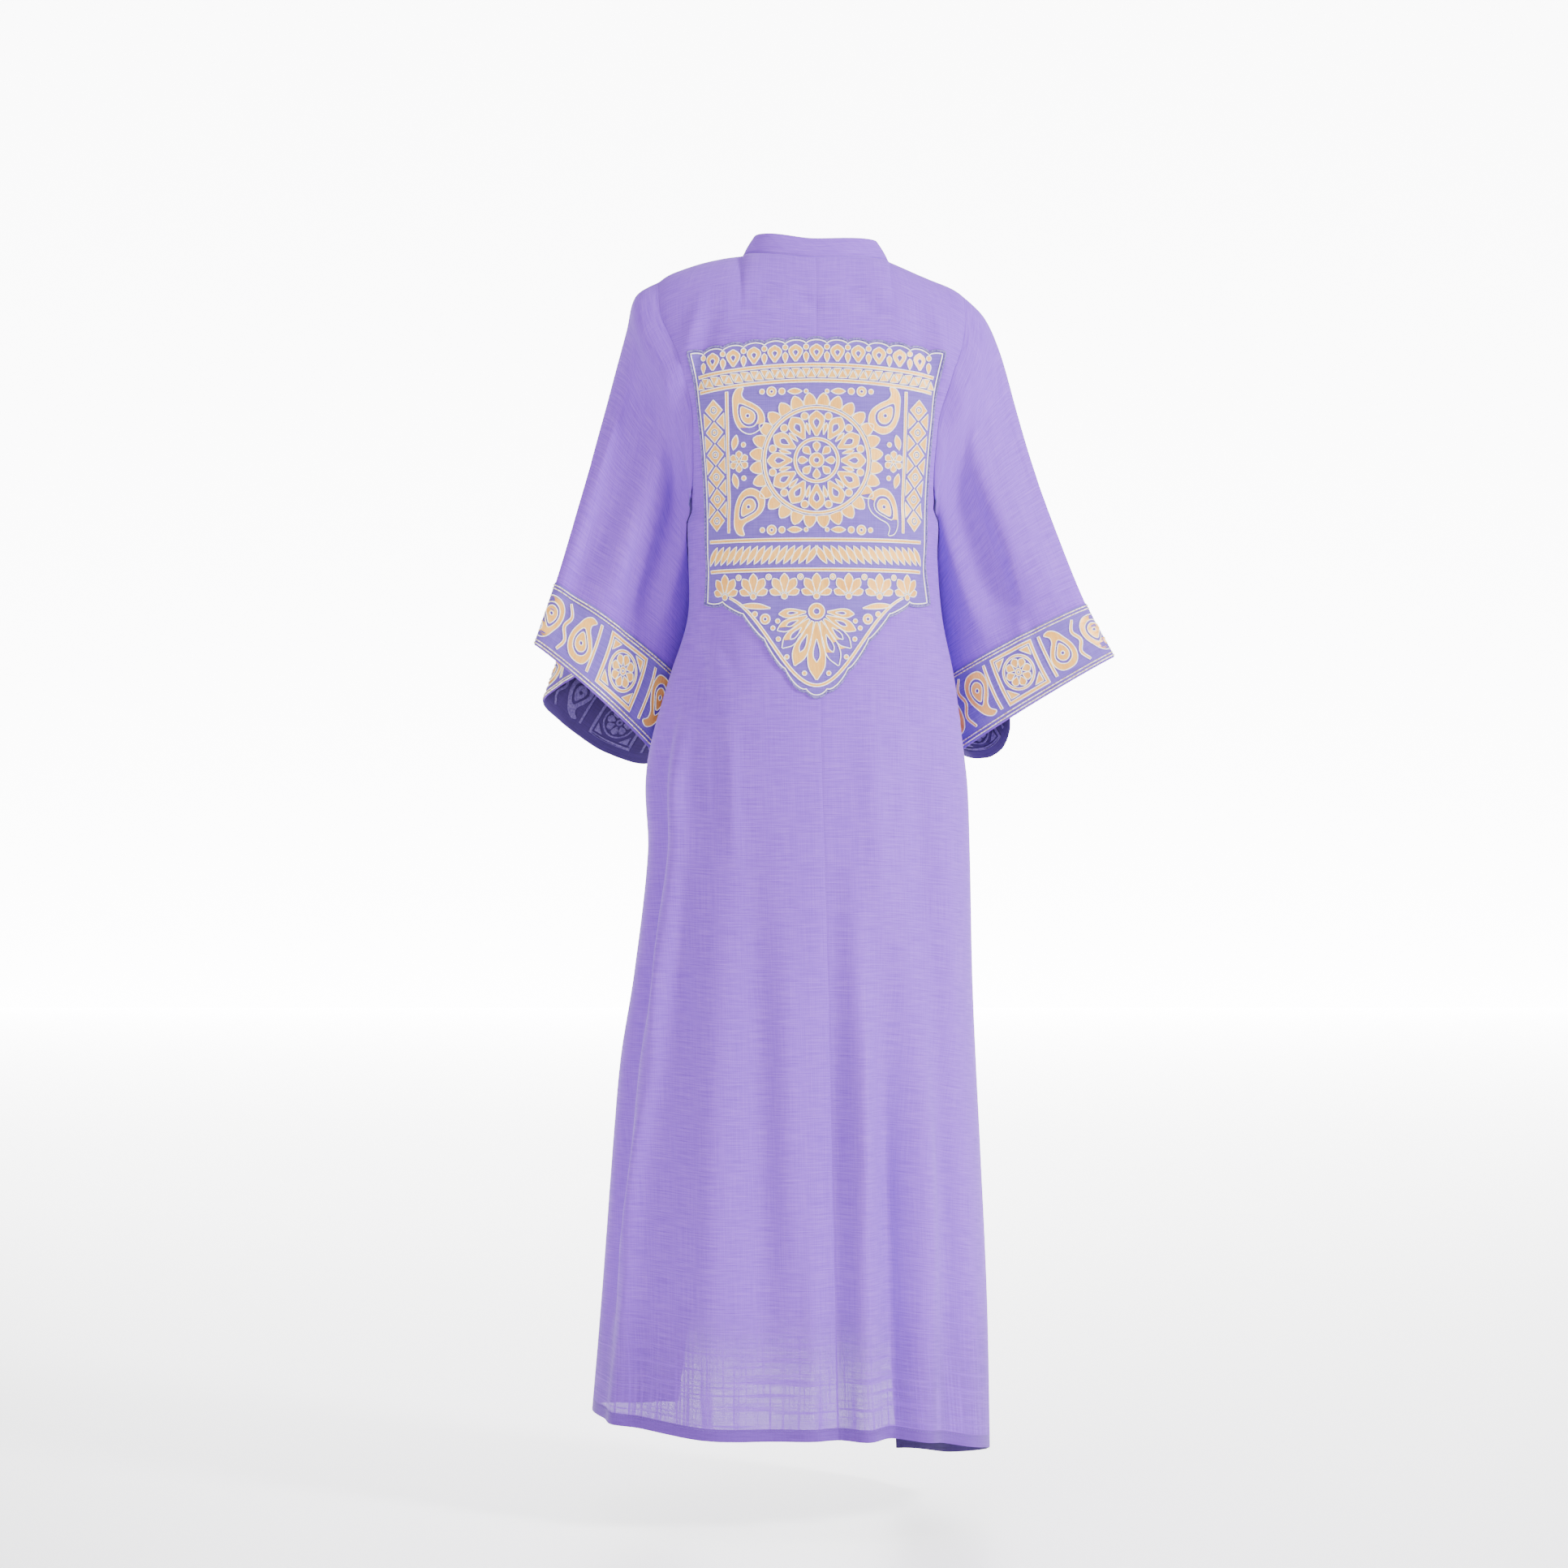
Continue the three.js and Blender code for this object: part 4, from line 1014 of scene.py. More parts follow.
PAISLEY = evenly(
    [(0, -27), (10, -25), (16, -17), (17, -7), (12, 5), (7, 13), (7, 20), (13, 26), (6, 29), (-3, 24),
     (-10, 13), (-15, 3), (-17, -8), (-15, -18), (-9, -25)],
    loop=True,
)  # fmt: skip
PAISLEY_INSIDE = evenly(
    [(0, -15), (6, -12), (8, -6), (4, 2), (-1, 8), (-6, 2), (-8, -6), (-6, -12)], loop=True
)
PAISLEY_GAP = 1.42  # the hole in a paisley, as a multiple of what lies in it


def sew(design, thread, motif, **place):
    design.append((thread, placed(motif, **place)))


def sew_pair(design, thread, motif, x=0.0, turn=0.0, mirror=False, **place):
    sew(design, thread, motif, x=x, turn=turn, mirror=mirror, **place)
    sew(design, thread, motif, x=-x, turn=-turn, mirror=not mirror, **place)


def paisley(design, **place):
    """A light paisley round a deep one that has a round hole."""
    sew(design, LIGHT, [PAISLEY, inset(PAISLEY_INSIDE, PAISLEY_GAP)], **place)
    sew(design, DEEP, [PAISLEY_INSIDE, placed([disc(2.6)], y=-5)[0]], **place)


def paisley_pair(design, x, y, turn, size, mirror=False):
    for mirrored, sign in ((mirror, 1), (not mirror, -1)):
        paisley(design, x=sign * x, y=y, turn=sign * turn, size=size, mirror=mirrored)


print(f"a paisley has {len(PAISLEY)} points round it")

# %% [markdown]
# ## The design on the back
#
# The patch's own outline comes first: an arched top and an ogee foot, both scalloped, and hollow sides.
# Its middle holds a large rosette with a paisley in each corner. Lozenges climb the sides, drops fill the
# scallops, and under the rosette come a row of leaves, a row of palmettes and one large palmette that
# hangs into the foot. Both halves mirror each other, as they would on a design sewn from one half.

# %% Patch outline
PATCH_TOP, PATCH_ARCH, PATCH_SIDE, PATCH_FOOT = 126, 14, 424, 536
PATCH_SCALLOP, PATCH_SCALLOP_WIDTH = 5, 25
PATCH_WIDTH = table("drop half", (108, 158), (160, 149), (230, 139), (330, 134), (424, 137))


def patch_half(drop):
    return read(PATCH_WIDTH, "drop", np.clip(drop, PATCH_TOP, PATCH_SIDE), "half")


def patch_scallop(across):
    return PATCH_SCALLOP * np.sqrt(np.abs(np.cos(math.pi * across / PATCH_SCALLOP_WIDTH)))


def patch_top(across):
    arch = PATCH_ARCH * (1 - (across / patch_half(PATCH_TOP)) ** 2)
    return PATCH_TOP - arch - patch_scallop(across)


def patch_foot(across):
    ogee = (1 + np.cos(math.pi * across / patch_half(PATCH_SIDE))) / 2
    return mix(PATCH_SIDE, PATCH_FOOT, np.clip(ogee, 0, 1) ** 1.5) + patch_scallop(across)


def patch_place(column, row, inward=0.0):
    """Across and drop at a share from side to side (-1 to 1) and from top to foot (0 to 1)."""
    top = patch_top(column * (patch_half(PATCH_TOP) - inward)) + inward
    foot = patch_foot(column * (patch_half(PATCH_SIDE) - inward)) - inward
    drop = mix(top, foot, row)
    return column * (patch_half(drop) - inward), drop


# %% A worn surface to sew on
def look_up(grid, x, y):
    """Reads a grid of values between its points."""
    rows, columns = grid["values"].shape[:2]
    if "round" in grid:  # a closed strip starts again where it ends
        x = np.mod(x, grid["round"])
    i = np.clip((x - grid["low"][0]) / grid["step"][0], 0, columns - 1.001)
    j = np.clip((y - grid["low"][1]) / grid["step"][1], 0, rows - 1.001)
    i0, j0 = i.astype(int), j.astype(int)
    a, b = (i - i0)[..., None], (j - j0)[..., None]
    v = grid["values"]
    upper = mix(v[j0, i0], v[j0, i0 + 1], a)
    return mix(upper, mix(v[j0 + 1, i0], v[j0 + 1, i0 + 1], a), b)


def sewing_surface(points, low, step, outward, closed=False):
    """Worn points over an even flat grid, with their normals. Flat places are across and up, in mm."""
    normals = normals_of(points, closed)
    j, i = points.shape[0] // 2, points.shape[1] // 3
    if np.dot(normals[j, i], outward(points[j, i])) < 0:
        normals = -normals
    run, rise = points[j, i + 1] - points[j, i], points[j + 1, i] - points[j, i]
    turned = np.dot(np.cross(run, rise), normals[j, i]) < 0  # a flat face would look inwards
    return {"low": low, "step": step, "values": np.concatenate([points, normals], -1), "turned": turned}


def on_surface(surface, flat, height):
    found = look_up(surface, flat[..., 0], flat[..., 1])
    return found[..., :3] + found[..., 3:] * np.asarray(height)[..., None]


ACROSS = np.arange(-166, 167, 2.0)
DROPS = np.arange(560, 99, -3.0)  # from the foot up
PATCH_FLAT = np.arange(-180, 181, 3.0)
worn, arcs = [], []
for drop in DROPS:
    left = body_point("back", "left", ACROSS, np.full(len(ACROSS), drop))
    right = body_point("back", "right", ACROSS, np.full(len(ACROSS), drop))
    line = np.where((ACROSS >= 0)[:, None], left, right)
    arc = distances(line[:, :2])
    arc -= np.interp(0, ACROSS, arc)
    arcs.append(arc)
    worn.append(along_line(line, arc, PATCH_FLAT))
flat_grid = {"low": (ACROSS[0], -DROPS[0]), "step": (2, 3), "values": np.array(arcs)[..., None]}
patch_surface = sewing_surface(np.array(worn), (PATCH_FLAT[0], -DROPS[0]), (3, 3), from_middle)


def flat_across(across, drop):
    """How far a place on the back lies from the middle, along the cloth."""
    return look_up(flat_grid, np.asarray(across, float), -np.asarray(drop, float))[..., 0]


print(f"half the patch is {flat_across(139.0, 230.0):.0f} mm wide along the cloth, 139 mm seen from behind")

# %% Back design
back_design = []


def line_across(design, thread, drop_at, width, reach):
    """A stripe that follows a curve across the patch."""
    u = np.linspace(-reach, reach, 81)
    sew(design, thread, [ribbon(np.stack([u, -drop_at(u)], -1), (width, width), 4.0)])


# The scalloped top: a drop in each lobe, a disc at each cusp, then a zigzag between two stripes
def arch_drop(u):
    return PATCH_TOP - PATCH_ARCH * (1 - (u / 160) ** 2)


for lobe in range(7):
    across = min(25.0 * lobe, 146)
    u = float(flat_across(across, arch_drop(across)))
    y = -arch_drop(u)
    drop = petal(-24, -4, 15.5, hole=0.4)
    if lobe == 0:
        sew(back_design, LIGHT, drop, y=y)
    elif lobe < 6:
        sew_pair(back_design, LIGHT, drop, x=u, y=y)
    if lobe < 6:
        cusp = float(flat_across(across + 12.5, arch_drop(across)))
        sew_pair(back_design, PALE, [disc(3.1)], x=cusp, y=-arch_drop(cusp) - 7)
        sew_pair(back_design, DEEP, petal(-25.5, -13, 6), x=cusp, y=-arch_drop(cusp))
line_across(back_design, PALE, lambda u: arch_drop(u) + 29, 3.4, 147)
for k in range(24):
    u = -143.75 + 12.5 * k
    y = -arch_drop(u)
    sew(back_design, DEEP, [polygon((-5.2, -44), (5.2, -44), (0, -34))], x=u, y=y)
    if k < 23:
        y = -arch_drop(u + 6.25)
        sew(back_design, LIGHT, [polygon((-4.6, -33), (0, -42.4), (4.6, -33))], x=u + 6.25, y=y)
line_across(back_design, PALE, lambda u: arch_drop(u) + 48, 3.4, 145)

# The sides: lozenges between small triangles, and an upright stripe inside them
SIDE_MIDDLE = 127
LOZENGE = [polygon((0, 12.4), (11.5, 0), (0, -12.4), (-11.5, 0)), disc(4.6)]
for k in range(6):
    y = -193 - 26.6 * k
    sew_pair(back_design, LIGHT, LOZENGE, x=SIDE_MIDDLE, y=y)
    sew_pair(back_design, DEEP, [disc(2.3)], x=SIDE_MIDDLE, y=y)
    if k < 5:
        for sign in (1, -1):
            wedge = polygon((sign * 13.5, 9.6), (sign * 3.6, 0), (sign * 13.5, -9.6))
            sew_pair(back_design, DEEP, [wedge], x=SIDE_MIDDLE, y=y - 13.3)
sew_pair(back_design, PALE, [ribbon([(0, -172), (0, -260), (0, -341)], (3.2, 3.2))], x=109.5)

# The middle: a rosette in rings of drops
CENTRE = -256
sew(back_design, PALE, [disc(8.6), disc(3.6)], y=CENTRE)
for k in range(8):
    sew(back_design, DEEP if k % 2 else LIGHT, petal(10.6, 22, 8.2), y=CENTRE, turn=45 * k)
sew(back_design, PALE, ring(27, 3), y=CENTRE)
for k in range(12):
    sew(back_design, LIGHT, petal(29.5, 59, 17.5, hole=0.42), y=CENTRE, turn=30 * k)
    between = math.radians(30 * k + 15)
    sew(back_design, DEEP, [disc(4.3)], x=54.6 * math.sin(between), y=CENTRE + 54.6 * math.cos(between))
    sew(back_design, DEEP, petal(32, 46, 4.2), y=CENTRE, turn=30 * k + 15)
sew(back_design, PALE, ring(64.5, 3.2), y=CENTRE)
for k in range(28):
    sew(back_design, DEEP if k % 2 else LIGHT, petal(66.5, 81, 14.2, (6.6, 7.2, 7, 5.8, 4.2, 1)), y=CENTRE,
        turn=360 / 28 * (k + 0.5))
paisley_pair(back_design, 86, -197, 32, 1.02, mirror=True)
paisley_pair(back_design, 86, -315, 148, 1.02)
for turn in range(0, 360, 60):
    sew_pair(back_design, DEEP, petal(3.4, 12.5, 7.4), x=95, y=CENTRE, turn=turn)
sew_pair(back_design, PALE, [disc(2.4)], x=95, y=CENTRE)
for sign in (1, -1):
    sew_pair(back_design, LIGHT, petal(-9, 9, 8, LEAF), x=100, y=CENTRE + 23 * sign, turn=-14 * sign)
    sew_pair(back_design, DEEP, [disc(2.8)], x=89, y=CENTRE + 20 * sign)
for y in (-173, -339):
    sew_pair(back_design, DEEP, [disc(3.0)], x=65.5, y=y)
    sew_pair(back_design, LIGHT, [disc(5.6), disc(2.2)], x=54, y=y)
    sew_pair(back_design, DEEP, [disc(3.8)], x=41.5, y=y)
    sew_pair(back_design, LIGHT, petal(-8.5, 8.5, 7, LEAF), x=26, y=y, turn=90)
    sew_pair(back_design, DEEP, [disc(2.4)], x=12.5, y=y)

# Under the rosette: slanted leaves between stripes, and a row of palmettes
line_across(back_design, PALE, lambda u: 351 + 0 * u, 3.4, 138)
for k in range(15):
    leaf = petal(-12.5, 12.5, 7.4, LEAF)
    sew_pair(back_design, LIGHT if k % 2 else DEEP, leaf, x=5.5 + 9.1 * k, y=-369, turn=-32)
line_across(back_design, PALE, lambda u: 387 + 0 * u, 3.4, 139)
for k in range(4):
    for turn, long in ((0, 27), (33, 25), (-33, 25), (68, 19), (-68, 19)):
        fan = {"y": -418.5, "turn": turn}
        motif = petal(5, long, 9.6 if abs(turn) < 40 else 7.6)
        thread = DEEP if abs(turn) == 33 else LIGHT
        if k == 0:
            sew(back_design, thread, motif, **fan)
        else:
            sew_pair(back_design, thread, motif, x=38.5 * k, **fan)
    if k:
        sew_pair(back_design, PALE, [disc(3.6)], x=38.5 * k, y=-418.5)
        sew_pair(back_design, DEEP, [disc(3.4), disc(1.2)], x=38.5 * k - 19.25, y=-395.5)
    else:
        sew(back_design, PALE, [disc(3.6)], y=-418.5)

# The foot: a large palmette that hangs down, in a stripe that follows the edge
FOOT_TOP = -437
for turn, long, width in ((0, 82, 20), (22, 70, 16.5), (43, 60, 14.5), (64, 52, 12.5), (86, 45, 10)):
    motif = petal(13, long, width, hole=0.4)
    if turn:
        sew_pair(back_design, LIGHT, motif, y=FOOT_TOP, turn=180 - turn)
    else:
        sew(back_design, DEEP, motif, y=FOOT_TOP, turn=180)
sew(back_design, PALE, [disc(9.5), disc(4)], y=FOOT_TOP)
for turn, long in ((11, 79), (33, 68), (54, 59), (76, 50)):
    angle = math.radians(turn)
    across, down = long * math.sin(angle) * 0.96, long * math.cos(angle) * 0.96
    sew_pair(back_design, PALE, [disc(2.6)], x=across, y=FOOT_TOP - down)
foot_across = np.linspace(0, 104, 27)
foot_ogee = ((1 + np.cos(math.pi * foot_across / 137)) / 2) ** 1.5
foot_up = -(mix(PATCH_SIDE, PATCH_FOOT, foot_ogee) - 10)
foot_line = np.stack([flat_across(foot_across, patch_foot(foot_across)), foot_up], -1)
whole = np.concatenate([foot_line[:0:-1] * (-1, 1), foot_line])
sew(back_design, PALE, [ribbon(whole, (2.4, 3.2, 3.2, 3.2, 2.4), 3.0)])
sew_pair(back_design, LIGHT, [ribbon([(56, -433), (72, -430.5), (94, -429.5)], (1, 6, 6, 1))])
sew_pair(back_design, DEEP, [disc(6), disc(2.4)], x=62, y=-446)
sew_pair(back_design, PALE, [disc(3.2)], x=75, y=-440)
sew_pair(back_design, DEEP, [disc(2.6)], x=52.5, y=-457)
print(len(back_design), "motifs on the back,", sum(len(o) for _, m in back_design for o in m), "points")

# %% [markdown]
# ## The design round the cuffs
#
# Each cuff band is a straight strip as long as the cuff is round. Its motifs are drawn on the flat strip,
# across and up from the hem, and meet where the strip closes: square panels with a rosette, and between
# them two paisleys, one of them upside down, on either side of a winding stem.

# %% Cuff design
BAND_WIDE = 82
CUFF_MIDDLE = 41
CUFF_REPEATS = 3


def cuff_design(length):
    design = []
    pitch = length / CUFF_REPEATS
    for k in range(CUFF_REPEATS):
        panel = {"x": length * 0.23 + pitch * k, "y": CUFF_MIDDLE}
        corners = np.array([(1, 1), (1, -1), (-1, -1), (-1, 1)])
        frame_edge = [polygon(*(corners * half)) for half in (29, 25.4)]
        sew(design, PALE, frame_edge, **panel)
        sew(design, LIGHT, [disc(4.2), disc(1.7)], **panel)
        for petals in range(8):
            sew(design, DEEP if petals % 2 else LIGHT, petal(5.8, 16.6, 8.6), turn=45 * petals, **panel)
        sew(design, PALE, ring(20.6, 2.4), **panel)
        for corner in range(4):
            wedge = [polygon((23, 23), (23, 11.5), (11.5, 23))]
            sew(design, DEEP, wedge, turn=90 * corner, **panel)
        gap = panel["x"] + pitch / 2
        for sign in (-1, 1):
            here = {"x": gap + sign * 24, "y": CUFF_MIDDLE, "turn": 90 - 90 * sign, "size": 0.96}
            paisley(design, **here)
            upright = ribbon([(0, -27), (0, 0), (0, 27)], (3, 3))
            sew(design, DEEP, [upright], x=gap + sign * 43.2, y=CUFF_MIDDLE)
        stem = ribbon([(-3, -28), (3, -14), (-3, 0), (3, 14), (-3, 28)], (2.6, 3.4, 3.4, 2.6))
        sew(design, PALE, [stem], x=gap, y=CUFF_MIDDLE)
    return design


# %% Cuff surfaces
CUFF_STEP = 3.0


def cuff_surface(side):
    """The worn cuff from the hem up, over an even flat strip."""
    turns = np.linspace(0, 360, 481)
    rows = np.arange(-3, BAND_WIDE + 4, CUFF_STEP)
    length = cloth[f"sleeve_{side}"]["flat"][-1, -1, 0]
    count = round(length / CUFF_STEP)
    worn = []
    for row in rows:
        along = np.full(len(turns), SLEEVE_LENGTH - max(row, 0.0))
        ring_points = sleeve_point(side, turns, along)
        if row < 0:  # a little past the hem, straight on
            above = sleeve_point(side, turns, along - 3)
            ring_points = ring_points + (ring_points - above) * (-row / 3)
        away = distances(ring_points)
        worn.append(along_line(ring_points, away, np.linspace(0, away[-1], count + 1)))
    surface = sewing_surface(
        np.array(worn), (0, rows[0]), (length / count, CUFF_STEP), from_sleeve(side), closed=True
    )
    surface["round"] = length
    return surface


cuff_surfaces = {side: cuff_surface(side) for side in ("left", "right")}
for side, surface in cuff_surfaces.items():
    print(f"{side} cuff: {surface['round']:.0f} mm round")

# %% [markdown]
# ## Threads
#
# The gold thread is a foil-wrapped yarn. Laid flat and close, it gives a satin surface: fine parallel lines,
# a soft metallic glow, brighter or deeper by the way that the threads run. Here that glow is painted into the
# colour: one gold in three tints, a lit one, a deeper one that is painted shade and a pale one that is
# painted highlight, with painted glints along the threads. The outlines are a thicker, paler cord that
# catches the light; its plain white is partly the pale cord and partly painted highlight. The threads are a
# quarter of a millimetre thick, so their lines are drawn coarser here. The patch's rim is a purple-grey satin
# cord.

# %% Thread materials
STITCH_DRAWN = 1.5  # between threads, mm; drawn coarser than the real 0.3 mm
GOLD_METALLIC, GOLD_ROUGHNESS = 0.2, 0.4


def gold_thread(name, light, dark, turn):
    material = new_material(name)
    place = add_node(material, "UVMap", uv_map="cloth").outputs["UV"]
    slant = {"Vector": place, "Rotation": (0, 0, math.radians(turn))}
    turned = add_node(material, "Mapping", slant).outputs[0]
    lines = {"Vector": turned, "Scale": WAVE_BAND / (STITCH_DRAWN * MM), "Distortion": 0.8}
    rows = add_node(material, "TexWave", lines).outputs["Fac"]
    # Painted glints: streaks along the threads that lighten and darken the base colour.
    glint = streaks(material, turned, 2.2, 16, True)
    patches = add_node(material, "TexNoise", {"Vector": place, "Scale": 1 / (26 * MM)}).outputs["Fac"]
    tone = add_node(material, "Math", {0: glint, 1: 0.6}, operation="MULTIPLY").outputs[0]
    tone = add_node(material, "Math", {0: patches, 1: 0.4, 2: tone}, operation="MULTIPLY_ADD").outputs[0]
    ramp = add_node(material, "ValToRGB", {"Fac": tone})
    ramp.color_ramp.elements[0].position, ramp.color_ramp.elements[0].color = 0.36, linear(dark)
    ramp.color_ramp.elements[1].position, ramp.color_ramp.elements[1].color = 0.64, linear(light)
    bump = add_node(material, "Bump", {"Height": rows, "Strength": 0.35, "Distance": 0.3 * MM})
    inputs = {"Base Color": ramp.outputs["Color"], "Normal": bump.outputs[0]}
    inputs |= {"Metallic": GOLD_METALLIC, "Roughness": GOLD_ROUGHNESS}
    return finish_material(material, add_node(material, "BsdfPrincipled", inputs))


def cord_material(name, light, dark, metallic, roughness):
    material = new_material(name)
    place = add_node(material, "TexCoord").outputs["Object"]
    twist = add_node(material, "TexNoise", {"Vector": place, "Scale": 1 / (2.4 * MM), "Detail": 1.0})
    ramp = add_node(material, "ValToRGB", {"Fac": twist.outputs["Fac"]})
    ramp.color_ramp.elements[0].position, ramp.color_ramp.elements[0].color = 0.38, linear(dark)
    ramp.color_ramp.elements[1].position, ramp.color_ramp.elements[1].color = 0.6, linear(light)
    bump = add_node(material, "Bump", {"Height": twist.outputs["Fac"], "Strength": 0.4, "Distance": 0.3 * MM})
    inputs = {"Base Color": ramp.outputs["Color"], "Normal": bump.outputs[0]}
    inputs |= {"Metallic": metallic, "Roughness": roughness}
    return finish_material(material, add_node(material, "BsdfPrincipled", inputs))


# One gold in three tints: the slanted one is a darker copy, painted shade, and the pale one a lighter copy,
# painted highlight.
GOLD_THREADS = (
    gold_thread("gold_thread_upright_painted_sheen", "#f8bc5e", "#e89e42", 0),
    gold_thread("gold_thread_slanted_painted_shade", "#eaa850", "#ce8232", 55),
    gold_thread("gold_thread_pale_painted_highlight", "#ffd68a", "#f2ba62", 90),
)
# Partly painted highlight: the pale cord is given plain white, so that it looks as bright as the light that
# it catches.
PALE_CORD_PAINTED_HIGHLIGHT = cord_material("pale_gold_cord_painted_highlight", "#ffffff", "#fff2d2", 0.0, 0.25)
SILVER_CORD = cord_material("silver_gold_cord", "#fbf3e2", "#c2a878", 0.35, 0.3)
SATIN_CORD = cord_material("purple_satin_cord", "#7a68ac", "#54448a", 0.0, 0.4)
# Painted shade: the same cloth as the robe, in a darker purple for the shade in the narrow gaps between the
# stitches.
PATCH_CLOTH = slub_cloth("patch_ground_cloth_painted_shade", "#775cba", "#6a50ae", "#5d449e")

# %% [markdown]
# ## Sewing the design on
#
# A flat curve object fills every outline at once, cuts the holes and rounds the edges. It becomes a mesh,
# and then each vertex moves from its flat place to the same place on the worn cloth, raised by its
# height. The outline cords are tubes along the same outlines.

# %% Satin stitch and cords
PAD_ROUND = 0.35
LONGEST_EDGE = 14.0  # that may still bend with the cloth, mm


def flat_curve(name, solid, thickness, sides):
    curve = bpy.data.curves.new(name, "CURVE")
    curve.dimensions = "2D" if solid else "3D"
    curve.fill_mode = "BOTH" if solid else "FULL"
    curve.bevel_depth, curve.bevel_resolution = thickness, sides
    return curve


def add_line(curve, points, thread=0, loop=True):
    spline = curve.splines.new("POLY")
    spline.points.add(len(points) - 1)
    places = np.ones((len(points), 4))
    places[:, 2] = 0
    places[:, : points.shape[1]] = points
    spline.points.foreach_set("co", places.ravel())
    spline.use_cyclic_u = loop
    spline.material_index = thread


def curve_mesh(curve):
    drawing = bpy.data.objects.new(curve.name, curve)
    mesh = bpy.data.meshes.new_from_object(drawing)
    bpy.data.objects.remove(drawing)
    bpy.data.curves.remove(curve)
    mesh.materials.clear()
    mesh.shade_smooth()
    return mesh


def split_long_edges(mesh):
    """Cuts long edges up, so that a long motif can bend with the cloth instead of cutting through it."""
    bm = bmesh.new()
    bm.from_mesh(mesh)
    for _ in range(5):
        long = [edge for edge in bm.edges if edge.calc_length() > LONGEST_EDGE]
        if not long:
            break
        bmesh.ops.subdivide_edges(bm, edges=long, cuts=1)
        bmesh.ops.triangulate(bm, faces=[face for face in bm.faces if len(face.verts) > 4])
    bm.to_mesh(mesh)
    bm.free()


def satin_stitch(name, design, surface, foot, top, threads=GOLD_THREADS):
    """One thin rounded pad for each motif, laid on the worn surface."""
    curve = flat_curve(name, True, PAD_ROUND, 1)
    curve.extrude, curve.offset = (top - foot) / 2 - PAD_ROUND, -PAD_ROUND
    for thread in threads:
        curve.materials.append(thread)
    for thread, motif in design:
        for outline in motif:
            add_line(curve, outline, thread)
    mesh = curve_mesh(curve)
    split_long_edges(mesh)
    flat = np.empty(len(mesh.vertices) * 3)
    mesh.vertices.foreach_get("co", flat)
    flat = flat.reshape(-1, 3)
    worn = on_surface(surface, flat[:, :2], flat[:, 2] + (foot + top) / 2) * MM
    mesh.vertices.foreach_set("co", worn.ravel())
    if surface["turned"]:
        mesh.flip_normals()
    corners = np.empty(len(mesh.loops), int)
    mesh.loops.foreach_get("vertex_index", corners)
    for layer in list(mesh.uv_layers):
        mesh.uv_layers.remove(layer)
    layer = mesh.uv_layers.new(name="cloth")
    layer.data.foreach_set("uv", (flat[corners, :2] * MM).ravel())
    made = add_piece(name, mesh, *threads)
    print(f"{name}: {len(mesh.polygons)} faces")
    return made


def cords(name, lines, radius, material, sides=0, loop=True):
    """A round cord along each line of worn points, which are in millimetres."""
    curve = flat_curve(name, False, radius * MM, sides)
    curve.use_fill_caps = not loop
    for line in lines:
        add_line(curve, line * MM, 0, loop)
    made = add_piece(name, curve_mesh(curve), material)
    print(f"{name}: {len(made.data.polygons)} faces")
    return made


def outline_cords(name, design, surface, height):
    outlines = [outline for _, motif in design for outline in motif]
    lines = [on_surface(surface, outline, height + 0 * outline[:, 0]) for outline in outlines]
    return cords(name, lines, OUTLINE_CORD, PALE_CORD_PAINTED_HIGHLIGHT)


# %% [markdown]
# ## The patch
#
# The patch is a piece of the same cloth, stiff with stitching, sewn over the two backs. A satin cord runs
# round its edge and a gold one just inside it.

# %% Patch
PATCH_FOOT_HEIGHT, PATCH_CLOTH_HEIGHT, PAD_HEIGHT = 0.4, 1.1, 1.9  # above the cloth, mm
PATCH_THICK = PATCH_CLOTH_HEIGHT - PATCH_FOOT_HEIGHT
CORD_HEIGHT = PAD_HEIGHT - 0.2
OUTLINE_CORD = 0.7
PATCH_COLUMNS, PATCH_ROWS = 132, 96
RIM_COLUMNS, RIM_ROWS = 240, 80


def patch_points(column, row, inward, height):
    """Worn points of the patch and their flat places, at a height above the back."""
    across, drop = patch_place(column, row, inward)
    flat = np.stack([flat_across(across, drop), -drop], -1)
    return on_surface(patch_surface, flat, height + 0 * drop), flat


column, row = np.meshgrid(np.linspace(-1, 1, PATCH_COLUMNS + 1), np.linspace(0, 1, PATCH_ROWS + 1))
points, flat = patch_points(column, row, 0, PATCH_CLOTH_HEIGHT)
patch = {"points": points, "normals": normals_of(points, False), "flat": flat, "closed": False}
if patch["normals"][40, 60][1] < 0:
    patch["normals"] = -patch["normals"]
# Its darker purple is painted shade between the stitches.
patch_cloth = add_cloth(patch, "embroidered_patch", PATCH_CLOTH, PATCH_CLOTH, PATCH_THICK)
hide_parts("back_patch")


def patch_rim(inward, height):
    side = np.linspace(0, 1, RIM_ROWS + 1)
    there = np.linspace(-1, 1, RIM_COLUMNS + 1)
    back = np.linspace(1, -1, RIM_COLUMNS + 1)[1:]
    column = np.concatenate([there, 0 * side[1:] + 1, back, 0 * side[1:-1] - 1])
    row = np.concatenate([0 * there, side[1:], 0 * back + 1, side[::-1][1:-1]])
    return patch_points(column, row, inward, height)[0]


patch_pieces = [
    satin_stitch("patch_gold_stitching", back_design, patch_surface, PATCH_CLOTH_HEIGHT, PAD_HEIGHT),
    outline_cords("patch_outline_cords", back_design, patch_surface, CORD_HEIGHT),
    cords("patch_edge_cord", [patch_rim(0.4, 1.1)], 1.5, SATIN_CORD, sides=2),
    cords("patch_gold_edge_cord", [patch_rim(3.4, 1.5)], 0.75, PALE_CORD_PAINTED_HIGHLIGHT, sides=1),
]

